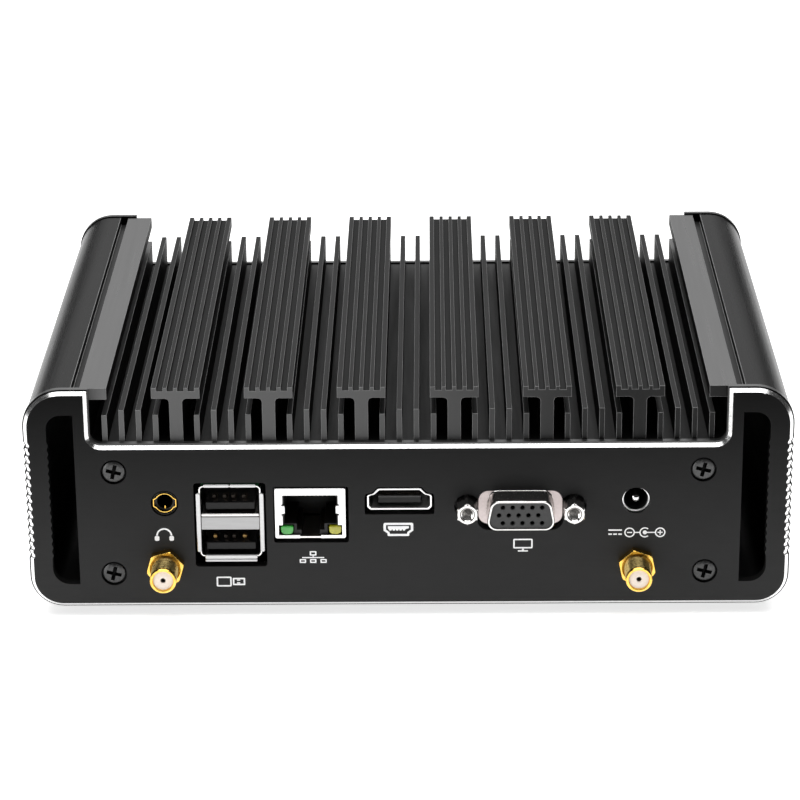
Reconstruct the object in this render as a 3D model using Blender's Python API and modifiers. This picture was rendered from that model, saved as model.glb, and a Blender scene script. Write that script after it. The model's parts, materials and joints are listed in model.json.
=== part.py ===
"""Fanless mini PC: an extruded finned case with two end panels, its connectors, board and fasteners.

Every dimension is in millimetres and every mesh is built in metres.
x runs to the right of the connector side, depth runs inwards from the outer plane of the connector
panel, and height runs up from the case's lower edge.  place() turns the three into world metres.
The world origin is under the middle of the object, at the level that the feet stand on.
"""

import math

import bmesh
import bpy
from mathutils import Vector

MM = 0.001
GAP = 0.3

# Case
CASE_WIDTH = 180.0
CASE_DEPTH = 134.0
CASE_HEIGHT = 55.2
PANEL_THICK = 2.5
PANEL_CHAMFER = 1.1
TOP_RADIUS = 9.3
BOTTOM_RADIUS = 7.8
NOTCH_HALF = 74.3
NOTCH_FLOOR = 41.6
NOTCH_RADIUS = 2.5
SLOT_INNER = 78.06
SLOT_OUTER = 84.4
SLOT_BOTTOM = 6.1
SLOT_TOP = 49.15
BODY_FRONT = PANEL_THICK + GAP
BODY_BACK = CASE_DEPTH - PANEL_THICK - GAP

# Heat sink
BASE_BOTTOM = 38.2
BASE_TOP = 41.2
FIN_PITCH = 21.65
T_FINS = 6
T_TOP = 54.8
T_STEM = 3.07
T_HALF = 5.65
T_FLANGE = 2.67
T_FILLET = 0.9
GROOVES = 4
GROOVE_PITCH = 2.45
GROOVE_WIDE = 1.5
GROOVE_DEEP = 0.83
PLAIN_FIN = 1.24
SMALL_FIN_TOP = 48.1
TALL_FIN_TOP = 49.3
PLAIN_FINS = ((4.83, SMALL_FIN_TOP), (8.83, TALL_FIN_TOP), (12.82, TALL_FIN_TOP), (16.82, SMALL_FIN_TOP))
RAIL_INNER = 70.2
RAIL_OUTER = 76.5
RAIL_FLANGE = 2.8
RAIL_STEM = 74.6
WALL_INNER = 73.0
UPPER_BOSS = (64.8, 29.4)
LOWER_BOSS = (62.6, 12.4)
WALL_BOTTOM = 2.6

# Side shells
SHELL_INNER = RAIL_OUTER + GAP
SHELL_STEP = 78.5
SHELL_GROOVE = 52.9
SHELL_CHANNEL_OUTER = 86.7
SHELL_CHANNEL_BOTTOM = 3.3
SHELL_CHANNEL_TOP = 51.4

# Fasteners and feet
TOP_SCREW = (69.05, 34.8)
LOW_SCREW = (69.95, 8.8)
SCREW_CHANNEL_RADIUS = 1.55
SCREW_SHANK_RADIUS = 1.25
SCREW_HEAD_RADIUS = 2.7
SCREW_HEAD = 1.1
SCREW_HEAD_EDGE = 0.4
PANEL_SCREW_LENGTH = 9.0
COVER_SCREW_LENGTH = 7.0
CROSS_ARM = 1.7
CROSS_HALF = 0.38
CROSS_DEEP = 0.75
CROSS_TURN = 12.0
COUNTERBORE_RADIUS = 3.05
COUNTERBORE = 1.4
COVER_COUNTERBORE = 1.3
COVER_BOTTOM = GAP
COVER_TOP = 2.3
COVER_SCREW_X = 65.6
COVER_SCREW_DEPTHS = (30.0, 104.0)
FOOT_HEIGHT = 2.5
FOOT_RADIUS = 6.0
FOOT_X = 66.0
FOOT_DEPTHS = (14.0, 120.0)

# Connector panel: (x, height) of each connector's centre, and its size
AUDIO = (-57.35, 26.8)
AUDIO_RADIUS = 3.05
USB_X = -42.0
USB_HALF = 7.3
USB_BOTTOM = 13.1
USB_TOP = 31.2
USB_PORT_HALF = 6.9
USB_PORTS = ((13.55, 19.95), (24.1, 30.75))
USB_TONGUE = 1.8
USB_TONGUE_HALF = 5.8
USB_DEPTH = 17.2
USB_SIDE_LIP = 8.05
USB_END_LIP = 6.2
USB_LIP_HEIGHTS = (11.8, 31.65)
LAN_LEFT = -31.45
LAN_RIGHT = -14.8
LAN_BOTTOM = 17.8
LAN_TOP = 30.55
LAN_LED = (3.0, 2.1)
HDMI_X = -2.1
HDMI_BOTTOM = 25.0
HDMI_TOP = 30.4
VGA = (26.3, 25.75)
VGA_SCREW_PITCH = 25.0
VGA_SCREW_FLATS = 4.76
VGA_REACH = 6.0
DC_JACK = (53.45, 27.0)
DC_BORE_RADIUS = 3.15
ANTENNAS = {"left": (-57.6, 10.8), "right": (53.9, 10.6)}
ANTENNA_REACH = 9.0
ANTENNA_NUT_FLATS = 8.0
ANTENNA_NUT_TURNS = {"left": 13.5, "right": -18.0}

# Far panel
BUTTON = (52.0, 24.0)
BUTTON_REACH = 1.2
BUTTON_RADIUS = 4.7
BEZEL_BORE = 5.0
LIGHT_PIPES = {"power": (41.0, 24.0), "disk": (35.0, 24.0)}
FAR_USB_X = -38.0

# Inside
BOARD_BOTTOM = 31.7
BOARD_TOP = 33.3
BOARD_HALF = 66.2
BOARD_DEPTHS = (3.4, 127.0)
MEMORY_X = 24.0
MEMORY_HALF = 33.8
MEMORY_BOTTOM = 28.6
MEMORY_THICK = 1.2
WIFI_X = -40.0

PANEL_Y = -(CASE_DEPTH + BUTTON_REACH - ANTENNA_REACH) / 2

COLOURS = {
    "anodised_black": ((0.030, 0.030, 0.033), 0.42, 0.6),
    "panel_black": ((0.032, 0.032, 0.034), 0.5, 0.4),
    "screw_black": ((0.05, 0.05, 0.055), 0.4, 0.9),
    "rubber": ((0.02, 0.02, 0.02), 0.9, 0.0),
    "nickel": ((0.72, 0.70, 0.66), 0.25, 1.0),
    "steel": ((0.62, 0.62, 0.62), 0.3, 1.0),
    "gold": ((0.95, 0.66, 0.22), 0.25, 1.0),
    "black_plastic": ((0.015, 0.015, 0.016), 0.5, 0.0),
    "blue_plastic": ((0.02, 0.12, 0.5), 0.5, 0.0),
    "green_led": ((0.05, 0.45, 0.1), 0.3, 0.0),
    "yellow_led": ((0.7, 0.5, 0.03), 0.3, 0.0),
    "clear_plastic": ((0.75, 0.8, 0.85), 0.2, 0.0),
    "board_green": ((0.01, 0.09, 0.04), 0.5, 0.0),
    "chip_grey": ((0.06, 0.06, 0.065), 0.4, 0.0),
    "copper": ((0.85, 0.42, 0.25), 0.3, 1.0),
    "aluminium": ((0.7, 0.71, 0.72), 0.35, 1.0),
}


# Scene helpers


def clear_scene():
    for obj in list(bpy.data.objects):
        bpy.data.objects.remove(obj, do_unlink=True)


def new_collection(name, hidden=False):
    collection = bpy.data.collections.new(name)
    bpy.context.scene.collection.children.link(collection)
    collection.hide_render = hidden
    return collection


def material(name):
    """The named material, made the first time it is asked for."""
    found = bpy.data.materials.get(name)
    if found:
        return found
    colour, roughness, metallic = COLOURS[name]
    made = bpy.data.materials.new(name)
    made.use_nodes = True
    shader = made.node_tree.nodes["Principled BSDF"]
    shader.inputs["Base Color"].default_value = (*colour, 1.0)
    shader.inputs["Roughness"].default_value = roughness
    shader.inputs["Metallic"].default_value = metallic
    made.diffuse_color = (*colour, 1.0)
    return made


def place(x, depth, height):
    """World position, in metres, of a point of the case."""
    return Vector((x, PANEL_Y + depth, FOOT_HEIGHT + height)) * MM


def add_object(name, data, look):
    """A new object among the parts, or among the cutters when it has no look."""
    obj = bpy.data.objects.new(name, data)
    if look:
        data.materials.append(material(look))
        bpy.data.collections["mini_pc"].objects.link(obj)
    else:
        bpy.data.collections["cutters"].objects.link(obj)
        obj.hide_render = True
        obj.display_type = "WIRE"
    return obj


def smooth(mesh, degrees=35.0):
    mesh.shade_smooth()
    mesh.set_sharp_from_angle(angle=math.radians(degrees))


def apply_boolean(obj, other, operation):
    modifier = obj.modifiers.new(operation.lower(), "BOOLEAN")
    modifier.operation = operation
    modifier.solver = "EXACT"
    modifier.object = other


def cut(obj, *cutters):
    for cutter in cutters:
        apply_boolean(obj, cutter, "DIFFERENCE")


def join(obj, *pieces):
    for piece in pieces:
        apply_boolean(obj, piece, "UNION")


# Outlines in the (x, height) plane


def rounded(corners, steps=4):
    """A closed outline from corners (x, height, radius)."""
    points = []
    for index, (x, height, radius) in enumerate(corners):
        here = Vector((x, height))
        if not radius:
            points.append(here)
            continue
        before = (Vector(corners[index - 1][:2]) - here).normalized()
        after = (Vector(corners[(index + 1) % len(corners)][:2]) - here).normalized()
        half = before.angle(after) / 2
        centre = here + (before + after).normalized() * radius / math.sin(half)
        start = here + before * radius / math.tan(half) - centre
        end = here + after * radius / math.tan(half) - centre
        turn = math.atan2(start.cross(end), start.dot(end))
        for step in range(steps + 1):
            angle = turn * step / steps
            cos, sin = math.cos(angle), math.sin(angle)
            points.append(centre + Vector((start.x * cos - start.y * sin, start.x * sin + start.y * cos)))
    return points


def rectangle(x0, x1, low, high, radius=0.0):
    return rounded([(x0, low, radius), (x1, low, radius), (x1, high, radius), (x0, high, radius)])


def circle(x, height, radius, sides=16, turn=0.0):
    angles = [math.tau * index / sides + turn for index in range(sides)]
    return [Vector((x + radius * math.cos(angle), height + radius * math.sin(angle))) for angle in angles]


def hexagon(x, height, flats, turn=0.0):
    return circle(x, height, flats / math.sqrt(3), sides=6, turn=turn)


def mirrored(outline):
    return [Vector((-point.x, point.y)) for point in reversed(outline)]


def d_outline(centre, top, bottom, high, radius, steps=4):
    """A D-sub outline whose narrow side is on top."""
    x, height = centre
    corners = [
        (x - bottom / 2, height - high / 2, radius),
        (x + bottom / 2, height - high / 2, radius),
        (x + top / 2, height + high / 2, radius),
        (x - top / 2, height + high / 2, radius),
    ]
    return rounded(corners, steps)


# Solids


def prism(name, outlines, depths, look=None, chamfered=None):
    """Separate outlines, each swept from one depth to another.

    chamfered is the depth at which the outer edges are cut at 45 degrees.
    """
    curve = bpy.data.curves.new(name, "CURVE")
    curve.dimensions = "2D"
    curve.fill_mode = "BOTH"
    curve.extrude = abs(depths[1] - depths[0]) / 2 * MM
    for outline in outlines:
        spline = curve.splines.new("POLY")
        spline.points.add(len(outline) - 1)
        spline.use_cyclic_u = True
        for point, (x, height) in zip(spline.points, outline):
            point.co = (x * MM, height * MM, 0.0, 1.0)
    guide = bpy.data.objects.new(name + "_guide", curve)
    bpy.context.scene.collection.objects.link(guide)
    guide.rotation_euler = (math.pi / 2, 0.0, 0.0)
    guide.location = place(0.0, sum(depths) / 2, 0.0)
    bpy.context.view_layer.update()
    graph = bpy.context.evaluated_depsgraph_get()
    mesh = bpy.data.meshes.new_from_object(guide.evaluated_get(graph))
    mesh.name = name
    mesh.materials.clear()
    made = add_object(name, mesh, look)
    made.matrix_world = guide.matrix_world
    bpy.data.objects.remove(guide)
    bpy.data.curves.remove(curve)
    weld(mesh)
    if chamfered is not None:
        chamfer_edges(made, chamfered, PANEL_CHAMFER)
    smooth(mesh)
    return made


def weld(mesh):
    """Joins the caps of a prism to its sides, and makes each cap one face."""
    shape = bmesh.new()
    shape.from_mesh(mesh)
    bmesh.ops.remove_doubles(shape, verts=shape.verts, dist=1e-6)
    caps = [face for face in shape.faces if len({vert.co.z for vert in face.verts}) == 1]
    bmesh.ops.dissolve_faces(shape, faces=caps)
    bmesh.ops.recalc_face_normals(shape, faces=shape.faces)
    shape.to_mesh(mesh)
    shape.free()


def chamfer_edges(obj, depth, width):
    """Cuts the edges that lie at one depth of a prism."""
    level = place(0.0, depth, 0.0).y
    shape = bmesh.new()
    shape.from_mesh(obj.data)
    edges = [
        edge
        for edge in shape.edges
        if all(abs((obj.matrix_world @ vert.co).y - level) < 1e-6 for vert in edge.verts)
    ]
    bmesh.ops.bevel(shape, geom=edges, offset=width * MM, segments=1, affect="EDGES")
    shape.to_mesh(obj.data)
    shape.free()


def box(name, xs, depths, heights, look=None, bevel=0.0):
    low = place(min(xs), min(depths), min(heights))
    high = place(max(xs), max(depths), max(heights))
    mesh = bpy.data.meshes.new(name)
    shape = bmesh.new()
    bmesh.ops.create_cube(shape, size=1.0)
    bmesh.ops.scale(shape, vec=high - low, verts=shape.verts)
    if bevel:
        bmesh.ops.bevel(shape, geom=shape.edges[:], offset=bevel * MM, segments=1, affect="EDGES")
    shape.to_mesh(mesh)
    shape.free()
    obj = add_object(name, mesh, look)
    obj.location = (low + high) / 2
    return obj


def turned(name, centre, profile, look=None, sides=16, facing=1, closed=False):
    """A turned solid on an axis along the depth, through centre (x, height).

    The profile's points are (radius, depth), from the near end down the outer side.
    facing is -1 for a piece of the far panel, whose depths are measured from that panel inwards.
    """
    x, height = centre
    obj = screwed(name, profile, look, sides, closed)
    obj.location = place(x, 0.0 if facing > 0 else CASE_DEPTH, height)
    obj.rotation_euler = (facing * math.pi / 2, 0.0, 0.0)
    return obj


def upright(name, x, depth, profile, look=None, sides=16):
    """A turned solid on a vertical axis, from a profile of (radius, minus height)."""
    obj = screwed(name, profile, look, sides, False)
    obj.location = place(x, depth, 0.0)
    return obj


def screwed(name, profile, look, sides, closed):
    """The profile's points are (radius, distance down the axis)."""
    mesh = bpy.data.meshes.new(name)
    shape = bmesh.new()
    verts = [shape.verts.new((radius * MM, 0.0, -along * MM)) for radius, along in profile]
    pairs = list(zip(verts, verts[1:]))
    if closed:
        pairs.append((verts[-1], verts[0]))
    for pair in pairs:
        shape.edges.new(pair)
    shape.to_mesh(mesh)
    shape.free()
    obj = add_object(name, mesh, look)
    screw = obj.modifiers.new("turn", "SCREW")
    screw.axis = "Z"
    screw.steps = sides
    screw.render_steps = sides
    screw.use_merge_vertices = True
    screw.merge_threshold = 1e-6
    bpy.context.view_layer.update()
    graph = bpy.context.evaluated_depsgraph_get()
    obj.data = bpy.data.meshes.new_from_object(obj.evaluated_get(graph))
    obj.modifiers.clear()
    smooth(obj.data)
    return obj


def rod(radius, start, end, chamfer=0.0):
    """The profile of a plain cylinder from one distance to another."""
    if not chamfer:
        return [(0.0, start), (radius, start), (radius, end), (0.0, end)]
    return [(0.0, start), (radius - chamfer, start), (radius, start + chamfer), (radius, end), (0.0, end)]


def tube(inner, outer, start, end):
    return [(outer, start), (outer, end), (inner, end), (inner, start)]


def inwards(facing, *distances):
    """Depths of points given by their distance behind the outer plane of a panel."""
    return [distance if facing > 0 else CASE_DEPTH - distance for distance in distances]


# Case


def panel_outline():
    half = CASE_WIDTH / 2
    corners = [
        (-half, 0.0, BOTTOM_RADIUS),
        (half, 0.0, BOTTOM_RADIUS),
        (half, CASE_HEIGHT, TOP_RADIUS),
        (NOTCH_HALF, CASE_HEIGHT, 0.0),
        (NOTCH_HALF, NOTCH_FLOOR, NOTCH_RADIUS),
        (-NOTCH_HALF, NOTCH_FLOOR, NOTCH_RADIUS),
        (-NOTCH_HALF, CASE_HEIGHT, 0.0),
        (-half, CASE_HEIGHT, TOP_RADIUS),
    ]
    return rounded(corners, 5)


def slot_outline():
    return rounded([
        (SLOT_INNER, SLOT_BOTTOM, 0.0),
        (SLOT_OUTER, SLOT_BOTTOM, 4.0),
        (SLOT_OUTER, SLOT_TOP, 3.5),
        (SLOT_INNER, SLOT_TOP, 0.0),
    ])


def panel_screw_places():
    return [(sign * x, height) for x, height in (TOP_SCREW, LOW_SCREW) for sign in (-1, 1)]


def cover_screw_places():
    return [(x, depth) for x in (-COVER_SCREW_X, COVER_SCREW_X) for depth in COVER_SCREW_DEPTHS]


def end_panel(name, facing, openings):
    """An end plate with its air slots and counterbored screw holes, and its own connector openings."""
    slots = [slot_outline(), mirrored(slot_outline())]
    holes = [circle(x, height, SCREW_CHANNEL_RADIUS, 12) for x, height in panel_screw_places()]
    bores = [circle(x, height, COUNTERBORE_RADIUS) for x, height in panel_screw_places()]
    outer, inner = inwards(facing, 0.0, PANEL_THICK)
    plate = prism(name, [panel_outline()], (outer, inner), "panel_black", chamfered=outer)
    through = prism(name + "_openings", slots + holes + openings, inwards(facing, -2.0, PANEL_THICK + 2.0))
    sunk = prism(name + "_counterbores", bores, inwards(facing, -2.0, COUNTERBORE))
    cut(plate, through, sunk)
    return plate


def io_openings():
    x, height = VGA
    return [
        circle(*AUDIO, AUDIO_RADIUS + 0.35),
        rectangle(-50.5, -33.5, 10.5, 31.95, 0.8),
        rectangle(-31.8, -14.1, 16.6, 30.9, 0.6),
        rectangle(-10.4, 6.0, 23.9, 30.9, 0.6),
        d_outline((x, height - 0.9), 16.4, 21.2, 10.2, 2.6),
        circle(*DC_JACK, 4.3),
        *[circle(*centre, 3.5) for centre in ANTENNAS.values()],
    ]


def io_panel():
    x, height = VGA
    plate = end_panel("io_panel", 1, io_openings())
    ears = [circle(x + side * VGA_SCREW_PITCH / 2, height, 3.2) for side in (-1, 1)]
    cut(plate, prism("vga_ears", ears, (-2.0, PANEL_THICK + 2.0)))


def far_openings():
    return [
        circle(*BUTTON, 6.0),
        *[circle(*centre, 1.9) for centre in LIGHT_PIPES.values()],
        rectangle(FAR_USB_X - 8.5, FAR_USB_X + 8.5, 10.5, 31.95, 0.8),
    ]


def plain_fin(x, top):
    half = PLAIN_FIN / 2
    return [(x - half, BASE_TOP), (x - half, top), (x + half, top), (x + half, BASE_TOP)]


def t_fin(x):
    """Half of the T is listed from its foot to the middle of its top, then mirrored."""
    under = T_TOP - T_FLANGE
    stem = T_STEM / 2
    left = [
        (-stem, BASE_TOP),
        (-stem, under - T_FILLET),
        (-stem - T_FILLET * 0.3, under - T_FILLET * 0.3),
        (-stem - T_FILLET, under),
        (-T_HALF, under),
        (-T_HALF, T_TOP),
    ]
    for index in range(GROOVES // 2):
        middle = (index - (GROOVES - 1) / 2) * GROOVE_PITCH
        start, end = middle - GROOVE_WIDE / 2, middle + GROOVE_WIDE / 2
        floor = T_TOP - GROOVE_DEEP
        left += [(start, T_TOP), (start, floor), (end, floor), (end, T_TOP)]
    right = [(-offset, height) for offset, height in reversed(left)]
    return [(x + offset, height) for offset, height in left + right]


def heat_sink_outline():
    """Half of the lower side is listed, then mirrored; the fins run from left to right on top."""
    stems = [(index - (T_FINS - 1) / 2) * FIN_PITCH for index in range(T_FINS)]
    plain = [(stem + offset, top) for stem in [stems[0] - FIN_PITCH] + stems for offset, top in PLAIN_FINS]
    fins = [(stem, t_fin(stem)) for stem in stems] + [(x, plain_fin(x, top)) for x, top in plain]
    upper_x, upper_bottom = UPPER_BOSS
    lower_x, lower_top = LOWER_BOSS
    slot_end = BOARD_HALF + GAP
    left = [
        (-upper_x, BASE_BOTTOM),
        (-upper_x, BOARD_TOP + GAP),
        (-slot_end, BOARD_TOP + GAP),
        (-slot_end, BOARD_BOTTOM - GAP),
        (-upper_x, BOARD_BOTTOM - GAP),
        (-upper_x, upper_bottom),
        (-WALL_INNER, upper_bottom),
        (-WALL_INNER, lower_top),
        (-lower_x, lower_top),
        (-lower_x, WALL_BOTTOM),
        (-RAIL_OUTER, WALL_BOTTOM),
        (-RAIL_OUTER, T_TOP),
        (-RAIL_INNER, T_TOP),
        (-RAIL_INNER, T_TOP - RAIL_FLANGE),
        (-RAIL_STEM, T_TOP - RAIL_FLANGE),
        (-RAIL_STEM, BASE_TOP),
    ]
    right = [(-x, height) for x, height in reversed(left)]
    top = [point for _, fin in sorted(fins) for point in fin]
    return [Vector(point) for point in left + top + right]


def heat_sink():
    channels = [circle(x, height, SCREW_CHANNEL_RADIUS, 12) for x, height in panel_screw_places()]
    sink = prism("heat_sink", [heat_sink_outline()], (BODY_FRONT, BODY_BACK), "anodised_black")
    cut(sink, prism("screw_channels", channels, (0.0, CASE_DEPTH)))
    for x, depth in cover_screw_places():
        cut(sink, upright("cover_screw_hole", x, depth, rod(SCREW_CHANNEL_RADIUS, -9.5, 0.0), sides=12))


def side_shell(name, sign):
    edge = CASE_WIDTH / 2 - GAP
    outer = rounded([
        (SHELL_INNER, GAP, 0.0),
        (edge, GAP, BOTTOM_RADIUS - GAP),
        (edge, CASE_HEIGHT - GAP, TOP_RADIUS - GAP),
        (SHELL_STEP, CASE_HEIGHT - GAP, 0.0),
        (SHELL_STEP, SHELL_GROOVE, 0.0),
        (SHELL_INNER, SHELL_GROOVE, 0.0),
    ], 6)
    channel = rounded([
        (SLOT_INNER, SHELL_CHANNEL_BOTTOM, 0.6),
        (SHELL_CHANNEL_OUTER, SHELL_CHANNEL_BOTTOM, 4.8),
        (SHELL_CHANNEL_OUTER, SHELL_CHANNEL_TOP, 6.2),
        (SLOT_INNER, SHELL_CHANNEL_TOP, 0.6),
    ])
    if sign < 0:
        outer, channel = mirrored(outer), mirrored(channel)
    shell = prism(name, [outer], (BODY_FRONT, BODY_BACK), "anodised_black")
    cut(shell, prism(name + "_channel", [channel], (0.0, CASE_DEPTH)))


def bottom_cover():
    cover = box(
        "bottom_cover",
        (-RAIL_OUTER, RAIL_OUTER),
        (BODY_FRONT, BODY_BACK),
        (COVER_BOTTOM, COVER_TOP),
        "panel_black",
    )
    shoulder = -COVER_BOTTOM - COVER_COUNTERBORE
    stepped = [
        (0.0, -5.0),
        (SCREW_CHANNEL_RADIUS, -5.0),
        (SCREW_CHANNEL_RADIUS, shoulder),
        (COUNTERBORE_RADIUS, shoulder),
        (COUNTERBORE_RADIUS, 1.0),
        (0.0, 1.0),
    ]
    for x, depth in cover_screw_places():
        cut(cover, upright("cover_counterbore", x, depth, stepped))


# Fasteners and feet


def screw_profile(head_face, length):
    """A pan-head screw: a rounded head with its shank behind it."""
    return [
        (0.0, head_face),
        (SCREW_HEAD_RADIUS - SCREW_HEAD_EDGE, head_face),
        (SCREW_HEAD_RADIUS, head_face + SCREW_HEAD_EDGE),
        (SCREW_HEAD_RADIUS, head_face + SCREW_HEAD),
        (SCREW_SHANK_RADIUS, head_face + SCREW_HEAD),
        (SCREW_SHANK_RADIUS, head_face + length),
        (0.0, head_face + length),
    ]


def cross_outline():
    """A Phillips cross as one twelve-sided outline."""
    arms = [math.radians(CROSS_TURN) + math.pi / 2 * index for index in range(4)]
    turns = [(math.cos(angle), math.sin(angle)) for angle in arms]
    tip = [(CROSS_HALF, CROSS_HALF), (CROSS_HALF, CROSS_ARM), (-CROSS_HALF, CROSS_ARM)]
    return [Vector((x * cos - y * sin, x * sin + y * cos)) for cos, sin in turns for x, y in tip]


def panel_screws(prefix, facing):
    """Each head lies in its counterbore, level with the panel's face."""
    face = COUNTERBORE - SCREW_HEAD - GAP
    profile = screw_profile(face, PANEL_SCREW_LENGTH)
    for number, (x, height) in enumerate(panel_screw_places(), 1):
        screw = turned(f"{prefix}_{number}", (x, height), profile, "screw_black", 14, facing)
        cross = [point + Vector((x, height)) for point in cross_outline()]
        cut(screw, prism(f"{prefix}_{number}_drive", [cross], inwards(facing, -0.5, face + CROSS_DEEP)))


def cover_screws():
    """Their heads lie in the cover's counterbores, with the drive facing down."""
    face = COVER_BOTTOM - 0.1
    profile = [(radius, -along) for radius, along in reversed(screw_profile(face, COVER_SCREW_LENGTH))]
    drive = (face - 0.6, face + CROSS_DEEP)
    for number, (x, depth) in enumerate(cover_screw_places(), 1):
        screw = upright(f"bottom_cover_screw_{number}", x, depth, profile, "screw_black", 14)
        long_x, thin_x = (x - CROSS_ARM, x + CROSS_ARM), (x - CROSS_HALF, x + CROSS_HALF)
        long_y, thin_y = (depth - CROSS_ARM, depth + CROSS_ARM), (depth - CROSS_HALF, depth + CROSS_HALF)
        cut(
            screw,
            box(f"cover_drive_{number}_x", long_x, thin_y, drive),
            box(f"cover_drive_{number}_y", thin_x, long_y, drive),
        )


def rubber_feet():
    """Slightly tapered discs with a chamfered lower edge."""
    profile = [
        (0.0, 0.0),
        (FOOT_RADIUS, 0.0),
        (FOOT_RADIUS - 0.2, FOOT_HEIGHT - 0.5),
        (FOOT_RADIUS - 0.7, FOOT_HEIGHT),
        (0.0, FOOT_HEIGHT),
    ]
    places = [(x, depth) for x in (-FOOT_X, FOOT_X) for depth in FOOT_DEPTHS]
    for number, (x, depth) in enumerate(places, 1):
        upright(f"rubber_foot_{number}", x, depth, profile, "rubber", 20)


# Connectors


def audio_jack():
    x, height = AUDIO
    heights = (height - 3.2, BOARD_BOTTOM - GAP)
    body = box("audio_jack_body", (x - 3.5, x + 3.5), (BODY_FRONT, 15.5), heights, "black_plastic")
    collar = turned("audio_collar", AUDIO, rod(AUDIO_RADIUS, 0.4, 5.0))
    stepped = [(0.0, -1.0), (2.72, -1.0), (2.72, 1.3), (1.85, 1.3), (1.85, 13.0), (0.0, 13.0)]
    bore = turned("audio_bore", AUDIO, stepped)
    join(body, collar)
    cut(body, bore)
    turned("audio_jack_contact", AUDIO, tube(1.9, 2.42, 0.5, 1.0), "gold", closed=True)


def usb_stack(prefix, centre, facing, plastic):
    """Two stacked ports: a folded metal shell with flared lips, and a moulding with two tongues."""

    def part(name, half, start, end, heights, look=None):
        return box(name, (centre - half, centre + half), inwards(facing, start, end), heights, look)

    shell = part(f"{prefix}_shell", USB_HALF, 0.0, USB_DEPTH, (USB_BOTTOM, USB_TOP), "nickel")
    join(
        shell,
        part(f"{prefix}_side_lips", USB_SIDE_LIP, -0.2, 0.4, (USB_BOTTOM + 1.2, USB_TOP - 1.8)),
        part(f"{prefix}_end_lips", USB_END_LIP, -0.2, 0.4, USB_LIP_HEIGHTS),
    )
    low, high = USB_PORTS[0][0], USB_PORTS[1][1]
    mouths = [
        part(f"{prefix}_mouth_{index}", USB_PORT_HALF, -1.0, 10.5, heights)
        for index, heights in enumerate(USB_PORTS)
    ]
    cut(shell, part(f"{prefix}_back_space", USB_PORT_HALF, 10.0, USB_DEPTH + 0.8, (low, high)), *mouths)
    filling = (low + GAP, high - GAP)
    insert = part(f"{prefix}_insert", USB_PORT_HALF - GAP, 10.3, USB_DEPTH - GAP, filling, plastic)
    for index, (floor, _) in enumerate(USB_PORTS):
        heights = (floor + 1.25, floor + 1.25 + USB_TONGUE)
        join(insert, part(f"{prefix}_tongue_{index}", USB_TONGUE_HALF, 1.2, 11.0, heights))


def lan_outline(grow=0.0):
    """The plug opening: a wide mouth that narrows to the latch's notch at the bottom."""
    middle = (LAN_LEFT + LAN_RIGHT) / 2
    half = [(6.5, 28.8), (6.5, 21.0), (3.55, 21.0), (3.55, 19.4), (2.45, 19.4), (2.45, 17.0)]
    right = [(offset + grow, height - grow) for offset, height in half]
    right[0] = (6.5 + grow, 28.8 + grow)
    left = [(-offset, height) for offset, height in reversed(right)]
    return [Vector((middle + offset, height)) for offset, height in right + left]


def lan_lights():
    """(node, outer edge, inner edge, look) of the two lights at the bottom corners."""
    wide = LAN_LED[0]
    left, right = LAN_LEFT + 1.1, LAN_RIGHT - 1.0
    return [
        ("lan_link_light", left, left + wide, "green_led"),
        ("lan_traffic_light", right, right - wide, "yellow_led"),
    ]


def lan_jack():
    low = LAN_BOTTOM + 0.8
    shell = box("lan_jack_shell", (LAN_LEFT, LAN_RIGHT), (-0.2, 20.5), (LAN_BOTTOM, LAN_TOP), "nickel")
    riser = box("lan_shell_riser", (LAN_LEFT, LAN_RIGHT), (3.2, 20.5), (LAN_TOP - 1.0, BOARD_BOTTOM - GAP))
    wall = 0.4
    within = (LAN_LEFT + wall, LAN_RIGHT - wall)
    inside = box("lan_shell_inside", within, (0.3, 20.1), (LAN_BOTTOM + wall, LAN_TOP - wall))
    high = low + LAN_LED[1]
    window = [rectangle(min(edges), max(edges), low, high) for _, *edges, _ in lan_lights()]
    mouth = prism("lan_shell_mouth", [lan_outline(), *window], (-1.0, 1.0))
    vent = box("lan_shell_vent", (LAN_LEFT + 2.0, LAN_RIGHT - 2.0), (19.0, 22.0), (20.0, 24.0))
    join(shell, riser)
    cut(shell, inside, mouth, vent)
    block = box(
        "lan_jack_insert",
        (LAN_LEFT + 0.7, LAN_RIGHT - 0.7),
        (0.6, 19.6),
        (LAN_BOTTOM + 0.7, LAN_TOP - 0.7),
        "black_plastic",
    )
    cavity = prism("lan_cavity", [lan_outline(-0.3)], (-0.5, 13.0))
    cut(block, cavity)
    for node, outer, inner, look in lan_lights():
        away = math.copysign(1.0, outer - inner)
        notch = (outer + 2.0 * away, inner - GAP * away)
        cut(block, box(node + "_notch", notch, (-0.5, 3.6), (low - 3.0, high + GAP)))
        box(node, (outer - 0.1 * away, inner + 0.1 * away), (0.0, 3.2), (low + 0.1, high - 0.1), look)


def hdmi_outline(shrink=0.0):
    corners = [
        (-6.9, HDMI_BOTTOM, 0.5),
        (6.9, HDMI_BOTTOM, 0.5),
        (7.6, HDMI_BOTTOM + 0.75, 0.4),
        (7.6, 28.7, 0.5),
        (6.2, 29.1, 0.6),
        (5.0, HDMI_TOP, 0.6),
        (-5.0, HDMI_TOP, 0.6),
        (-6.2, 29.1, 0.6),
        (-7.6, 28.7, 0.5),
        (-7.6, HDMI_BOTTOM + 0.75, 0.4),
    ]
    middle = (HDMI_BOTTOM + HDMI_TOP) / 2
    wide, high = 1 - shrink / 7.6, 1 - 2 * shrink / (HDMI_TOP - HDMI_BOTTOM)
    points = rounded(corners, 2)
    return [Vector((HDMI_X + point.x * wide, middle + (point.y - middle) * high)) for point in points]


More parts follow.
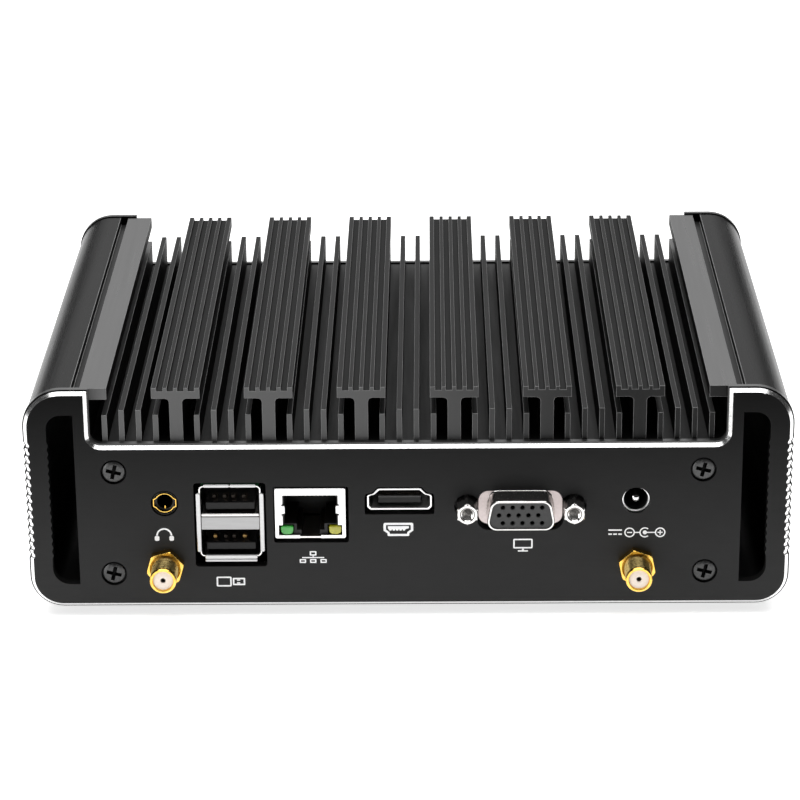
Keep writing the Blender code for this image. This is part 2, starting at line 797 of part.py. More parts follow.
def hdmi():
    shell = prism("hdmi_shell", [hdmi_outline()], (-0.1, 12.0), "nickel")
    cut(shell, prism("hdmi_inside", [hdmi_outline(0.45)], (-1.0, 13.0)))
    tongue = box("hdmi_insert", (HDMI_X - 5.0, HDMI_X + 5.0), (1.0, 11.0), (26.3, 28.1), "black_plastic")
    back = box("hdmi_back", (HDMI_X - 5.6, HDMI_X + 5.6), (9.0, 14.0), (25.9, 28.2))
    foot = box("hdmi_foot", (HDMI_X - 5.6, HDMI_X + 5.6), (12.3, 14.0), (25.9, BOARD_BOTTOM - GAP))
    join(tongue, back, foot)


def vga():
    """The D shell flares into a base that fills the panel's opening, with a flange behind the panel."""
    x, height = VGA
    shell = prism("vga_shell", [d_outline(VGA, 14.0, 16.6, 7.6, 2.2)], (-VGA_REACH, 1.0), "nickel")
    base = prism("vga_base", [d_outline((x, height - 0.9), 15.6, 20.3, 9.2, 2.4)], (-0.9, 3.2))
    plate = rectangle(x - 15.4, x + 15.4, height - 6.6, BOARD_BOTTOM - GAP, 1.0)
    flange = prism("vga_flange", [plate], (2.8, 3.8))
    join(shell, base, flange)
    holes = [circle(x + side * VGA_SCREW_PITCH / 2, height, 1.7, 12) for side in (-1, 1)]
    hollow = prism("vga_hollow", [d_outline(VGA, 13.1, 15.7, 6.8, 1.9)], (-8.0, 6.0))
    cut(shell, hollow, prism("vga_flange_holes", holes, (1.0, 6.0)))
    face = d_outline(VGA, 12.4, 15.0, 6.1, 1.6)
    socket = prism("vga_insert", [face], (-VGA_REACH + 0.5, 6.0), "black_plastic")
    body = box("vga_body", (x - 15.0, x + 15.0), (4.1, 13.0), (height - 6.0, BOARD_BOTTOM - GAP))
    clearance = [circle(x + side * VGA_SCREW_PITCH / 2, height, 2.0, 12) for side in (-1, 1)]
    pins = [
        circle(x + 0.35 - 0.9 * (row == 1) + (column - 2) * 2.29, height + (1 - row) * 1.98, 0.5, 8)
        for row in range(3)
        for column in range(5)
    ]
    join(socket, body)
    cut(socket, prism("vga_pin_holes", pins, (-8.0, -2.0)), prism("vga_screw_room", clearance, (2.0, 9.0)))
    for side, name in ((-1, "left"), (1, "right")):
        centre = (x + side * VGA_SCREW_PITCH / 2, height)
        nut = prism(f"vga_jackscrew_{name}", [hexagon(*centre, VGA_SCREW_FLATS)], (-5.2, 2.5), "nickel")
        join(nut, turned(f"vga_stud_{name}", centre, rod(1.35, 1.0, 8.0), sides=12))
        cut(nut, turned(f"vga_thread_{name}", centre, rod(1.45, -6.0, -0.5), sides=12))


def dc_jack():
    x, height = DC_JACK
    heights = (height - 4.6, BOARD_BOTTOM - GAP)
    body = box("dc_jack_housing", (x - 4.7, x + 4.7), (BODY_FRONT, 17.0), heights, "black_plastic")
    join(body, turned("dc_barrel", DC_JACK, rod(3.95, -0.4, 5.0, 0.3), sides=20))
    cut(body, turned("dc_bore", DC_JACK, rod(DC_BORE_RADIUS, -1.0, 11.0), sides=20))
    cut(body, turned("dc_pin_seat", DC_JACK, rod(1.3, 9.0, 18.0), sides=12))
    turned("dc_jack_pin", DC_JACK, rod(1.0, 1.2, 16.0, 0.4), "nickel", 12)


def antenna_connectors():
    """Bulkhead coaxial connectors: a threaded barrel with its shoulder behind the panel, and a nut."""
    for side, centre in ANTENNAS.items():
        profile = [
            (0.0, -ANTENNA_REACH + 3.0),
            (0.6, -ANTENNA_REACH + 3.0),
            (0.6, -ANTENNA_REACH + 0.5),
            (2.2, -ANTENNA_REACH + 0.5),
            (2.5, -ANTENNA_REACH),
            (2.9, -ANTENNA_REACH),
            (3.1, -ANTENNA_REACH + 0.3),
            (3.1, BODY_FRONT),
            (4.3, BODY_FRONT),
            (4.3, BODY_FRONT + 1.6),
            (2.4, BODY_FRONT + 1.6),
            (2.4, 8.0),
            (1.3, 8.0),
            (1.3, 14.0),
            (0.0, 14.0),
        ]
        turned(f"antenna_connector_{side}", centre, profile, "gold")
        nut_outline = hexagon(*centre, ANTENNA_NUT_FLATS, math.radians(ANTENNA_NUT_TURNS[side]))
        nut = prism(f"antenna_nut_{side}", [nut_outline], (-2.6, -GAP), "gold")
        cut(nut, turned(f"antenna_nut_bore_{side}", centre, rod(3.4, -4.0, 1.0)))


# Far panel


def power_button():
    """The button's stem slides in the switch behind it, along the depth."""
    x, height = BUTTON
    cap = [
        (0.0, -BUTTON_REACH),
        (BUTTON_RADIUS - 0.4, -BUTTON_REACH),
        (BUTTON_RADIUS, -BUTTON_REACH + 0.4),
        (BUTTON_RADIUS, 2.9),
        (5.7, 2.9),
        (5.7, 4.1),
        (1.5, 4.1),
        (1.5, 9.0),
        (0.0, 9.0),
    ]
    turned("power_button", BUTTON, cap, "steel", 24, facing=-1)
    ring = [
        (BEZEL_BORE, 2.4),
        (BEZEL_BORE, -0.8),
        (6.5, -0.8),
        (6.8, -0.5),
        (6.8, -GAP),
        (5.7, -GAP),
        (5.7, 2.4),
    ]
    turned("button_bezel", BUTTON, ring, "panel_black", 24, facing=-1, closed=True)
    heights = (height - 3.2, BOARD_BOTTOM - GAP)
    body = box("power_switch_body", (x - 3.2, x + 3.2), inwards(-1, 7.4, 12.0), heights, "black_plastic")
    cut(body, turned("power_switch_bore", BUTTON, rod(1.8, 6.0, 10.4), sides=12, facing=-1))
    for light, centre in LIGHT_PIPES.items():
        profile = [(0.0, -0.3), (1.3, -0.3), (1.5, 0.0), (1.5, 2.8), (2.2, 2.8), (2.2, 6.5), (0.0, 6.5)]
        turned(f"{light}_light_pipe", centre, profile, "clear_plastic", 12, facing=-1)


# Inside


def main_board():
    box("main_board", (-BOARD_HALF, BOARD_HALF), BOARD_DEPTHS, (BOARD_BOTTOM, BOARD_TOP), "board_green")
    box("processor_package", (-8.5, 18.5), (48.0, 72.0), (BOARD_TOP + GAP, BOARD_TOP + 1.6), "chip_grey")
    box("heat_spreader", (-15.0, 25.0), (40.0, 80.0), (BOARD_TOP + 1.9, BASE_BOTTOM - GAP), "copper")


def memory():
    """A laptop memory module in its socket, held at both sides by sprung latches."""
    left, right = MEMORY_X - MEMORY_HALF, MEMORY_X + MEMORY_HALF
    low, high = MEMORY_BOTTOM, MEMORY_BOTTOM + MEMORY_THICK
    heights = (27.0, BOARD_BOTTOM - GAP)
    socket = box("memory_socket", (left - 1.5, right + 1.5), (113.0, 119.5), heights, "black_plastic")
    cut(socket, box("memory_mouth", (left - GAP, right + GAP), (112.0, 117.0), (low - GAP, high + GAP)))
    box("memory_module", (left, right), (87.0, 116.7), (low, high), "board_green")
    for name, edge, sign in (("left", left, -1), ("right", right, 1)):
        inner, outer = edge + sign * GAP, edge + sign * 1.5
        box(f"memory_latch_{name}", (inner, outer), (89.0, 112.6), (27.6, 30.8), "steel")


def wifi_card():
    card = box("wifi_card", (WIFI_X - 15.0, WIFI_X + 15.0), (60.0, 86.8), (28.0, 29.0), "board_green")
    shield = box("wifi_shield", (WIFI_X - 11.0, WIFI_X + 11.0), (66.0, 82.0), (26.6, 28.5))
    socket = box("wifi_socket", (WIFI_X - 15.0, WIFI_X + 15.0), (85.0, 91.0), (27.2, BOARD_BOTTOM - GAP))
    join(card, shield, socket)


def solid_state_drive():
    """A 2.5 inch drive that lies on the cover."""
    floor = COVER_TOP + GAP
    box("solid_state_drive", (-50.0, 50.0), (44.0, 113.85), (floor, floor + 7.0), "aluminium", 0.5)


def lead_route(points, steps=5):
    """A Catmull-Rom curve through the route's points."""
    ends = [points[0] * 2 - points[1], *points, points[-1] * 2 - points[-2]]
    route = []
    for a, b, c, d in zip(ends, ends[1:], ends[2:], ends[3:]):
        for step in range(steps):
            t = step / steps
            route.append(
                (b * 2 + (c - a) * t + (a * 2 - b * 5 + c * 4 - d) * t**2 + (b * 3 - a - c * 3 + d) * t**3) / 2
            )
    return [*route, points[-1]]


def antenna_lead(side, points):
    curve = bpy.data.curves.new(f"antenna_lead_{side}", "CURVE")
    curve.dimensions = "3D"
    curve.bevel_depth = 0.6 * MM
    curve.bevel_resolution = 2
    curve.use_fill_caps = True
    route = lead_route([place(*point) for point in points])
    spline = curve.splines.new("POLY")
    spline.points.add(len(route) - 1)
    for point, position in zip(spline.points, route):
        point.co = (*position, 1.0)
    add_object(f"antenna_lead_{side}", curve, "black_plastic")


def antenna_leads():
    """Coaxial leads from the antenna connectors to the radio card, over the drive."""
    card_end = [(54.0, 22.0), (62.0, 26.0), (63.5, 27.2)]
    x, height = ANTENNAS["left"]
    start = [(x, 14.3, height), (x, 24.0, height + 1.0), (-54.0, 40.0, 16.0)]
    antenna_lead("left", start + [(-49.0, depth, level) for depth, level in card_end])
    x, height = ANTENNAS["right"]
    start = [(x, 14.3, height), (x - 1.0, 24.0, height + 1.0), (42.0, 34.0, 15.0), (10.0, 38.0, 17.0), (-20.0, 42.0, 17.0)]
    antenna_lead("right", start + [(-31.0, depth, level) for depth, level in card_end])


def build():
    clear_scene()
    new_collection("mini_pc")
    new_collection("cutters", hidden=True)
    heat_sink()
    side_shell("side_shell_left", -1)
    side_shell("side_shell_right", 1)
    io_panel()
    end_panel("front_panel", -1, far_openings())
    bottom_cover()
    panel_screws("io_panel_screw", 1)
    panel_screws("front_panel_screw", -1)
    cover_screws()
    rubber_feet()
    audio_jack()
    usb_stack("usb_stack", USB_X, 1, "black_plastic")
    lan_jack()
    hdmi()
    vga()
    dc_jack()
    antenna_connectors()
    power_button()
    usb_stack("front_usb", FAR_USB_X, -1, "blue_plastic")
    main_board()
    memory()
    wifi_card()
    solid_state_drive()
    antenna_leads()


build()
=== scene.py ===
"""Looks of a fanless mini PC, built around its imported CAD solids.

Lengths are in millimetres in the case's own frame: x to the right of the connector side, depth inwards
from the outer plane of an end panel, height above the case's lower edge.  facing is 1 for the connector
panel and -1 for the far panel.  spot() turns them into world metres.
"""

import json
import math

import bmesh
import bpy
from mathutils import Matrix, Vector


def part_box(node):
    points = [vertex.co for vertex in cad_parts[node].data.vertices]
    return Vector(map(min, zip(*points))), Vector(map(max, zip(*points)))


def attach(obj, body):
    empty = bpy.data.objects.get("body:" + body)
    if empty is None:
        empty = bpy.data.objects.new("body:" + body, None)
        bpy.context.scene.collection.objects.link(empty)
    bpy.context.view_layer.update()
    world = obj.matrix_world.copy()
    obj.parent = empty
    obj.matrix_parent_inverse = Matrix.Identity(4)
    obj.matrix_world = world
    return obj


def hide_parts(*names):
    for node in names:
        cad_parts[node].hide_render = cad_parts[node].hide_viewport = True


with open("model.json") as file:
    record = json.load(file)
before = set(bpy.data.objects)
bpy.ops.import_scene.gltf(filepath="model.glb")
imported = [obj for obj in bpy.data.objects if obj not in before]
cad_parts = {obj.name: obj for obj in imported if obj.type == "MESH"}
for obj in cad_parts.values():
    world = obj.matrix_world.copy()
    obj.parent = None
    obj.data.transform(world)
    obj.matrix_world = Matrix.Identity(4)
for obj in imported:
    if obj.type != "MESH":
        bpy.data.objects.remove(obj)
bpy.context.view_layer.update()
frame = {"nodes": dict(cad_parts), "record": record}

MM = 0.001
PANEL_LOW, PANEL_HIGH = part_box("io_panel")
PANEL_Y = PANEL_LOW.y
CASE_BOTTOM = PANEL_LOW.z
CASE_DEPTH = (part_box("front_panel")[1].y - PANEL_Y) / MM
HALF = PANEL_HIGH.x / MM
TOP = (PANEL_HIGH.z - CASE_BOTTOM) / MM
PANEL_THICK = (PANEL_HIGH.y - PANEL_Y) / MM
GAP = 0.3
SHARP = 30.0
ROUND_SIDES = 48
PATCH_LOW, PATCH_HIGH = 0.3, 0.7

SIDES = ((-1, "left"), (1, "right"))

# Case outline
TOP_RADIUS = 9.3
BOTTOM_RADIUS = 7.8
NOTCH_HALF = 74.3
NOTCH_FLOOR = 41.6
NOTCH_RADIUS = 2.5
CHAMFER = 1.1
RIM = 0.34
WAVE_PITCH = 2.0
WAVES = 15
WAVE_DEEP = 0.4
WAVE_BOTTOM = 12.5
WAVE_STEPS = 8
SLOT_INNER, SLOT_OUTER = 78.06, 84.4
SLOT_BOTTOM, SLOT_TOP = 6.1, 49.15
SHELL_INNER, SHELL_STEP, SHELL_GROOVE = 76.8, 78.5, 52.9
CHANNEL_OUTER, CHANNEL_BOTTOM, CHANNEL_TOP = 86.7, 3.3, 51.4
FIN_FLOOR, FIN_TOPS = 40.0, 45.0
T_GROOVE = (53.5, 54.4)
T_FINS_HALF = 68.0
SCREWS = [(side * x, height) for x, height in ((69.05, 34.8), (69.95, 8.8)) for side in (-1, 1)]
COVER_SCREWS = [(x, depth) for x in (-65.6, 65.6) for depth in (30.0, 104.0)]

# Connectors
AUDIO = (-57.35, 26.8)
USB_X = -42.0
FAR_USB_X = -38.0
USB_TONGUES = (14.45, 24.75)
LAN_LEFT, LAN_RIGHT, LAN_BOTTOM, LAN_TOP = -31.45, -14.8, 17.8, 30.55
HDMI_X, HDMI_BOTTOM, HDMI_TOP = -2.1, 25.0, 30.4
VGA = (26.3, 25.75)
JACKSCREW_REACH, JACKSCREW_FLATS = 12.5, 4.76
DC_JACK = (53.45, 27.0)
NUT_FLATS = 8.0
ANTENNAS = {"left": (-57.6, 10.8, 13.5), "right": (53.9, 10.6, -18.0)}
BUTTON = (52.0, 24.0)
LIGHT_PIPES = {"power": (41.0, 24.0), "disk": (35.0, 24.0)}

# Printed marks
PRINT = (-0.03, 0.05)
AUDIO_MARK = (-57.7, 18.6)
USB_MARK = (-42.3, 6.6)
FAR_USB_MARK = (-38.0, 6.6)
LAN_MARK = (-22.65, 12.9)
SCREEN_MARK = (26.95, 15.6)
POWER_MARK = (53.65, 18.85)
PIPE_MARK_HEIGHT = 18.6

# Camera: place as x, depth and height; yaw, pitch and roll in degrees
CAMERA_PLACE = (5.635, -663.153, 312.152)
CAMERA_TURN = (-0.639, 21.370, 0.527)
LENS_LENGTH = 138.24


def spot(x, depth, height, facing=1):
    if facing < 0:
        depth = CASE_DEPTH - depth
    return Vector((x * MM, PANEL_Y + depth * MM, CASE_BOTTOM + height * MM))


# Materials


def node_setup(name):
    made = bpy.data.materials.new(name)
    made.use_nodes = True
    nodes, links = made.node_tree.nodes, made.node_tree.links
    return made, nodes, links, nodes["Principled BSDF"]


def new_node(nodes, kind, **sockets):
    """A shader node with values in its sockets; an underscore stands for a space."""
    made = nodes.new(f"ShaderNode{kind}")
    fill(made, sockets)
    return made


def fill(node, sockets):
    for socket, value in sockets.items():
        node.inputs[socket.replace("_", " ")].default_value = value


def noise(nodes, links, scale, stretch=(1.0, 1.0, 1.0), detail=4.0):
    """A noise texture on object coordinates, longer along an axis where stretch is small."""
    where = new_node(nodes, "TexCoord")
    mapping = new_node(nodes, "Mapping", Scale=stretch)
    texture = new_node(nodes, "TexNoise", Scale=scale, Detail=detail)
    links.new(where.outputs["Object"], mapping.inputs["Vector"])
    links.new(mapping.outputs["Vector"], texture.inputs["Vector"])
    return texture.outputs["Fac"]


def ramp(nodes, links, source, stops):
    """Colours from (position, colour) stops along a factor."""
    made = new_node(nodes, "ValToRGB")
    elements = made.color_ramp.elements
    for element, (position, colour) in zip(elements, stops):
        element.position = position
        element.color = (*colour, 1.0)
    for position, colour in stops[2:]:
        elements.new(position).color = (*colour, 1.0)
    links.new(source, made.inputs["Fac"])
    return made.outputs["Color"]


def map_range(nodes, links, source, start, end, first, last):
    """A value that goes from first to last while the source goes from start to end."""
    made = new_node(nodes, "MapRange", From_Min=start, From_Max=end, To_Min=first, To_Max=last)
    links.new(source, made.inputs["Value"])
    return made.outputs["Result"]


def bump(nodes, links, source, strength, height):
    made = new_node(nodes, "Bump", Strength=strength, Distance=height * MM)
    links.new(source, made.inputs["Height"])
    return made.outputs["Normal"]


def coordinate(nodes, links, space, axis):
    where = new_node(nodes, "TexCoord")
    split = new_node(nodes, "SeparateXYZ")
    links.new(where.outputs[space], split.inputs["Vector"])
    return split.outputs[axis]


def along(nodes, links, axis, ends, first, last):
    """A value that goes from first to last between two object coordinates in millimetres."""
    start, end = (place * MM for place in ends)
    return map_range(nodes, links, coordinate(nodes, links, "Object", axis), start, end, first, last)


def finish(nodes, links, shader, colour, patches, fine, rough, grain):
    """Gives a shader its colour, uneven roughness and fine grain."""
    links.new(colour, shader.inputs["Base Color"])
    roughness = map_range(nodes, links, patches, PATCH_LOW, PATCH_HIGH, *rough)
    links.new(roughness, shader.inputs["Roughness"])
    links.new(bump(nodes, links, fine, grain, 0.02), shader.inputs["Normal"])


def surface(name, colours, rough, metallic=0.0, ior=1.5, scale=900.0, stretch=(1, 1, 1), grain=0.15,
            **sockets):
    """A surface with patches of two colours, uneven roughness and a fine grain.

    colours are the two ends of the colour variation, a number being a grey, and rough the two ends of the
    roughness.  scale and stretch set the size of the patches, and grain is the strength of the bump.
    """
    made, nodes, links, shader = node_setup(name)
    colours = [grey(colour) if isinstance(colour, float) else colour for colour in colours]
    patches = noise(nodes, links, scale, stretch)
    fine = noise(nodes, links, scale * 5, stretch, 2.0)
    colour = ramp(nodes, links, patches, list(zip((PATCH_LOW, PATCH_HIGH), colours)))
    finish(nodes, links, shader, colour, patches, fine, rough, grain)
    fill(shader, {"Metallic": metallic, "IOR": ior, **sockets})
    return made


def grey(value, warm=0.0):
    return (value * (1 + warm), value, value * (1 - warm))


def metal(name, colours, rough, *patches):
    return surface(name, colours, rough, 1.0, 1.5, *patches)


def drawn_black(name, colours, rough, specular, ior=1.5, scale=900.0, stretch=(1, 0.04, 1), grain=0.2):
    """Black metal with fine lines along its depth."""
    return surface(name, colours, rough, 0.0, ior, scale, stretch, grain, Specular_IOR_Level=specular)


def circuit_board():
    """Green solder mask over copper tracks."""
    made, nodes, links, shader = node_setup("circuit_board")
    where = new_node(nodes, "TexCoord")
    brick = new_node(
        nodes, "TexBrick", Scale=260.0, Mortar_Size=0.03, Color1=(0.010, 0.085, 0.035, 1.0),
        Color2=(0.012, 0.100, 0.042, 1.0), Mortar=(0.030, 0.180, 0.070, 1.0))
    links.new(where.outputs["Object"], brick.inputs["Vector"])
    links.new(brick.outputs["Color"], shader.inputs["Base Color"])
    links.new(bump(nodes, links, brick.outputs["Fac"], 0.4, 0.03), shader.inputs["Normal"])
    roughness = map_range(nodes, links, noise(nodes, links, 400.0), PATCH_LOW, PATCH_HIGH, 0.25, 0.42)
    links.new(roughness, shader.inputs["Roughness"])
    return made


def painted_gradient_black(name, axis, ends, stops, scales, stretch, rough, grain):
    """Black with painted light: its lightness changes along an axis, between two coordinates in millimetres.
    """
    made, nodes, links, shader = node_setup(name)
    patches = noise(nodes, links, scales[0], stretch)
    fine = noise(nodes, links, scales[1], stretch, 2.0)
    place = along(nodes, links, axis, ends, 0.0, 1.0)
    colour = ramp(nodes, links, place, [(at, grey(value)) for at, value in stops])
    finish(nodes, links, shader, colour, patches, fine, rough, grain)
    return made, nodes, links, shader


def panel_painted_sheen():
    """Fine bead-blasted black with painted shade that darkens it towards the top, and a painted sheen that is
    a little stronger towards the lower edge.
    """
    ends = (3.0, 58.0)
    stops = [(0.0, 0.0090), (0.3, 0.0100), (0.55, 0.0085), (1.0, 0.0020)]
    made, nodes, links, shader = painted_gradient_black(
        "panel_black", "Z", ends, stops, (1300.0, 6500.0), (0.12, 1.0, 1.0), (0.44, 0.54), 0.25)
    links.new(along(nodes, links, "Z", ends, 0.32, 0.06), shader.inputs["Specular IOR Level"])
    return made


def sawn_painted_light():
    """Saw-cut ends of the sink, with painted light that makes them lighter towards the left."""
    stops = [(0.0, 0.125), (0.45, 0.090), (0.75, 0.014), (1.0, 0.006)]
    made, _, _, shader = painted_gradient_black(
        "sawn_anodised_painted_light", "X", (-88.0, 88.0), stops, (1500.0, 7000.0), (1.0, 1.0, 0.08), (0.38, 0.52), 0.3)
    shader.inputs["Specular IOR Level"].default_value = 0.14
    return made


ANODISED = drawn_black("anodised_black", (0.026, 0.036), (0.26, 0.34), 0.5, 1.55, 700.0, (1, 0.03, 1), 0.12)
SHELL_BLACK = drawn_black("shell_black", (0.012, 0.018), (0.24, 0.31), 0.04, 1.5, 700.0, (1, 0.03, 1), 0.10)
RIDGE_BLACK = drawn_black("ridge_black", (0.010, 0.015), (0.28, 0.36), 0.04)
GROOVE_BLACK = drawn_black("groove_black", (0.010, 0.014), (0.40, 0.50), 0.03)
# Near-black that stands for painted shade in recesses, channels, between the fins and on the panel rim.
SHADE_BLACK = drawn_black("painted_shade_black", (0.0015, 0.003), (0.5, 0.62), 0.1, 1.4, grain=0.15)
# Dark anodised black that stands for painted shade on the floors of grooves and between the fins.
VALLEY_SHADE_BLACK = drawn_black("valley_painted_shade", (0.008, 0.012), (0.42, 0.52), 0.2, 1.45)
# A light grey for the rounded edges of the black parts, a painted highlight along them.
ANODISED_EDGE_HIGHLIGHT = surface("anodised_edge_highlight", (0.17, 0.26), (0.32, 0.46), 0.0, 1.5, 2500.0, (1, 0.1, 1), 0.1)
# The sawn ends carry painted light, lighter on the left.
SAWN_PAINTED_LIGHT = sawn_painted_light()
# The end panels and the cover carry painted shade and a painted sheen that change with height.
PANEL_PAINTED_SHEEN = panel_painted_sheen()
BRIGHT_CUT = metal("bright_cut", (0.86, 0.95), (0.18, 0.26), 1200.0, (1, 1, 1), 0.05)
SCREW_BLACK = surface("screw_black", (0.05, 0.09), (0.3, 0.45), 0.8, 1.5, 2200.0, (1, 1, 1), 0.35)
RUBBER = surface("rubber", (0.012, 0.02), (0.75, 0.9), 0.0, 1.45, 2500.0, (1, 1, 1), 0.6)
NICKEL = metal("nickel", (grey(0.72, 0.02), grey(0.82, 0.02)), (0.14, 0.26), 1400.0, (1, 1, 1), 0.12)
SATIN_NICKEL = metal("satin_nickel", (grey(0.86, 0.01), 0.93), (0.3, 0.42), 1800.0, (0.2, 1, 1), 0.2)
DULL_NICKEL = metal("dull_nickel", (0.50, 0.57), (0.26, 0.36), 1800.0, (0.2, 1, 1), 0.2)
ROLLED_STEEL = metal("rolled_steel", (0.35, 0.40), (0.34, 0.44), 2200.0, (0.1, 1, 1), 0.25)
FLANGE_NICKEL = metal("flange_nickel", ((0.47, 0.41, 0.40), (0.54, 0.475, 0.465)), (0.32, 0.42), 1800.0)
DRAWN_NICKEL = metal("drawn_nickel", (grey(0.70, 0.02), grey(0.80, 0.02)), (0.17, 0.25), 1400.0, (1, 1, 1),
                     0.05)
CHROME = metal("chrome", (0.80, 0.88), (0.07, 0.16), 1600.0, (1, 1, 1), 0.08)
STEEL = metal("brushed_steel", (0.55, 0.66), (0.24, 0.38), 3000.0, (0.05, 1, 1), 0.25)
DARK_STEEL = metal("button_steel", (0.34, 0.44), (0.26, 0.38), 3000.0, (0.04, 1, 1), 0.3)
GOLD = metal("gold_plate", ((0.95, 0.55, 0.09), (1.0, 0.68, 0.17)), (0.14, 0.26), 1200.0, (1, 1, 1), 0.12)
# A darker gold, used on the antenna thread.
DARKER_GOLD = metal("darker_gold", ((0.34, 0.25, 0.09), (0.56, 0.43, 0.18)), (0.24, 0.4), 1500.0)
DULL_GOLD = metal("contact_gold", ((0.42, 0.25, 0.08), (0.58, 0.38, 0.15)), (0.3, 0.45), 2500.0)
# Contact metal darkened to near black, painted shade for contacts that lie deep inside ports.
SHADED_CONTACT = surface("contact_painted_shade", ((0.030, 0.024, 0.018), (0.045, 0.036, 0.028)), (0.35, 0.5), 0.6,
                       1.5, 2500.0)
DIELECTRIC = surface("ptfe", ((0.93, 0.80, 0.68), (0.97, 0.88, 0.79)), (0.35, 0.5), 0.0, 1.35, 1800.0)
BLACK_PLASTIC = surface("black_plastic", (0.006, 0.010), (0.34, 0.48), 0.0, 1.46, 1500.0,
                        Specular_IOR_Level=0.4)
GREY_PLASTIC = surface("grey_plastic", (0.030, 0.042), (0.4, 0.52), 0.0, 1.46, 1500.0)
TONGUE_PLASTIC = surface("tongue_plastic", (0.008, 0.013), (0.4, 0.52), 0.0, 1.46, 1500.0,
                         Specular_IOR_Level=0.3)
BLUE_PLASTIC = surface("blue_plastic", ((0.01, 0.10, 0.45), (0.015, 0.13, 0.55)), (0.3, 0.45), 0.0, 1.5,
                       1500.0)
GREEN_LED = surface("green_light", ((0.015, 0.33, 0.02), (0.04, 0.48, 0.05)), (0.08, 0.16), 0.0, 1.5, 500.0,
                    Transmission_Weight=0.15, Coat_Weight=1.0)
YELLOW_LED = surface("yellow_light", ((0.42, 0.40, 0.0), (0.58, 0.56, 0.01)), (0.08, 0.16), 0.0, 1.5, 500.0,
                     Transmission_Weight=0.15, Coat_Weight=1.0)
LENS = surface("clear_lens", (0.75, 0.85), (0.1, 0.25), 0.0, 1.49, 600.0, Transmission_Weight=0.7)
INK = surface("white_ink", (0.90, 0.98), (0.5, 0.65), 0.0, 1.45, 4000.0)
CHIP = surface("chip_grey", (0.035, 0.06), (0.35, 0.55), 0.0, 1.5, 1500.0)
COPPER = metal("copper", ((0.80, 0.36, 0.20), (0.90, 0.48, 0.30)), (0.22, 0.4), 1500.0, (0.05, 1, 1))
ALUMINIUM = metal("drive_aluminium", (0.58, 0.7), (0.3, 0.45), 1800.0, (0.06, 1, 1))
BOARD = circuit_board()


# Outlines in the (x, height) plane


def arc(x, height, radius, start, end, steps):
    """Points of an arc between two angles in degrees."""
    angles = [math.radians(start + (end - start) * step / steps) for step in range(steps + 1)]
    return [(x + radius * math.cos(angle), height + radius * math.sin(angle)) for angle in angles]


def mirrored(outline):
    return [(-x, height) for x, height in reversed(outline)]


def twice(half, x, height):
    """Half of an outline and the same half turned by 180 degrees, around a centre."""
    return [(x + px, height + pz) for px, pz in half + [(-px, -pz) for px, pz in half]]


def rounded(corners, steps=6):
    """A closed outline from corners (x, height, radius)."""
    points = []
    for index, (x, height, radius) in enumerate(corners):
        here = Vector((x, height))
        before = (Vector(corners[index - 1][:2]) - here).normalized()
        after = (Vector(corners[(index + 1) % len(corners)][:2]) - here).normalized()
        half = before.angle(after) / 2
        centre = here + (before + after).normalized() * radius / math.sin(half)
        start = here + before * radius / math.tan(half) - centre
        end = here + after * radius / math.tan(half) - centre
        turn = math.atan2(start.cross(end), start.dot(end))
        count = steps if radius else 0
        for step in range(count + 1):
            angle = turn * step / max(count, 1)
            cos, sin = math.cos(angle), math.sin(angle)
            across, up = start.x * cos - start.y * sin, start.x * sin + start.y * cos
            points.append((centre.x + across, centre.y + up))
    return points


def rectangle(x0, x1, low, high, radius=0.0, steps=6):
    return rounded([(x0, low, radius), (x1, low, radius), (x1, high, radius), (x0, high, radius)], steps)


def circle(x, height, radius, sides=32, turn=0.0):
    angles = [math.tau * index / sides + math.radians(turn) for index in range(sides)]
    return [(x + radius * math.cos(angle), height + radius * math.sin(angle)) for angle in angles]


def wavy_side(x, deep, outwards=1):
    """The corrugated stretch of a side, bottom to top; its crests lie on x."""
    points = []
    for step in range(WAVES * WAVE_STEPS + 1):
        height = WAVE_BOTTOM + WAVE_PITCH * step / WAVE_STEPS
        wave = (1 - math.cos(math.tau * step / WAVE_STEPS)) / 2
        points.append((x - outwards * deep * wave, height))
    return points


def panel_ring(inset):
    """The end panel's outline, moved inwards by inset all round; every inset has the same points."""
    half = [
        *arc(HALF - BOTTOM_RADIUS, BOTTOM_RADIUS, BOTTOM_RADIUS - inset, -90, 0, 12),
        *wavy_side(HALF - inset, WAVE_DEEP),
        *arc(HALF - TOP_RADIUS, TOP - TOP_RADIUS, TOP_RADIUS - inset, 0, 90, 14),
        (NOTCH_HALF + inset, TOP - inset),
        *arc(NOTCH_HALF - NOTCH_RADIUS, NOTCH_FLOOR + NOTCH_RADIUS, NOTCH_RADIUS + inset, 0, -90, 8),
    ]
    return half + mirrored(half)


def slot_ring():
    """The air slot of an end panel, with its corrugated outer side."""
    low, high = 4.0, 3.5
    return [
        (SLOT_INNER, SLOT_BOTTOM),
        *arc(SLOT_OUTER - low, SLOT_BOTTOM + low, low, -90, 0, 8),
        *wavy_side(SLOT_OUTER, 0.3),
        *arc(SLOT_OUTER - high, SLOT_TOP - high, high, 0, 90, 8),
        (SLOT_INNER, SLOT_TOP),
    ]


def d_outline(x, height, top, bottom, high, radius):
    """A D-sub outline whose narrow side is on top."""
    return rounded([
        (x - bottom / 2, height - high / 2, radius),
        (x + bottom / 2, height - high / 2, radius),
        (x + top / 2, height + high / 2, radius),
        (x - top / 2, height + high / 2, radius),
    ], 8)


# Solids


def new_piece(name, shape, looks):
    """An object from a bmesh, which is freed; looks is its material, or a tuple of its material slots."""
    bmesh.ops.recalc_face_normals(shape, faces=shape.faces)
    mesh = bpy.data.meshes.new(name)
    shape.to_mesh(mesh)
    shape.free()
    for look in looks if isinstance(looks, tuple) else (looks,):
        mesh.materials.append(look)
    obj = placed(name, mesh)
    smooth(obj)
    return obj


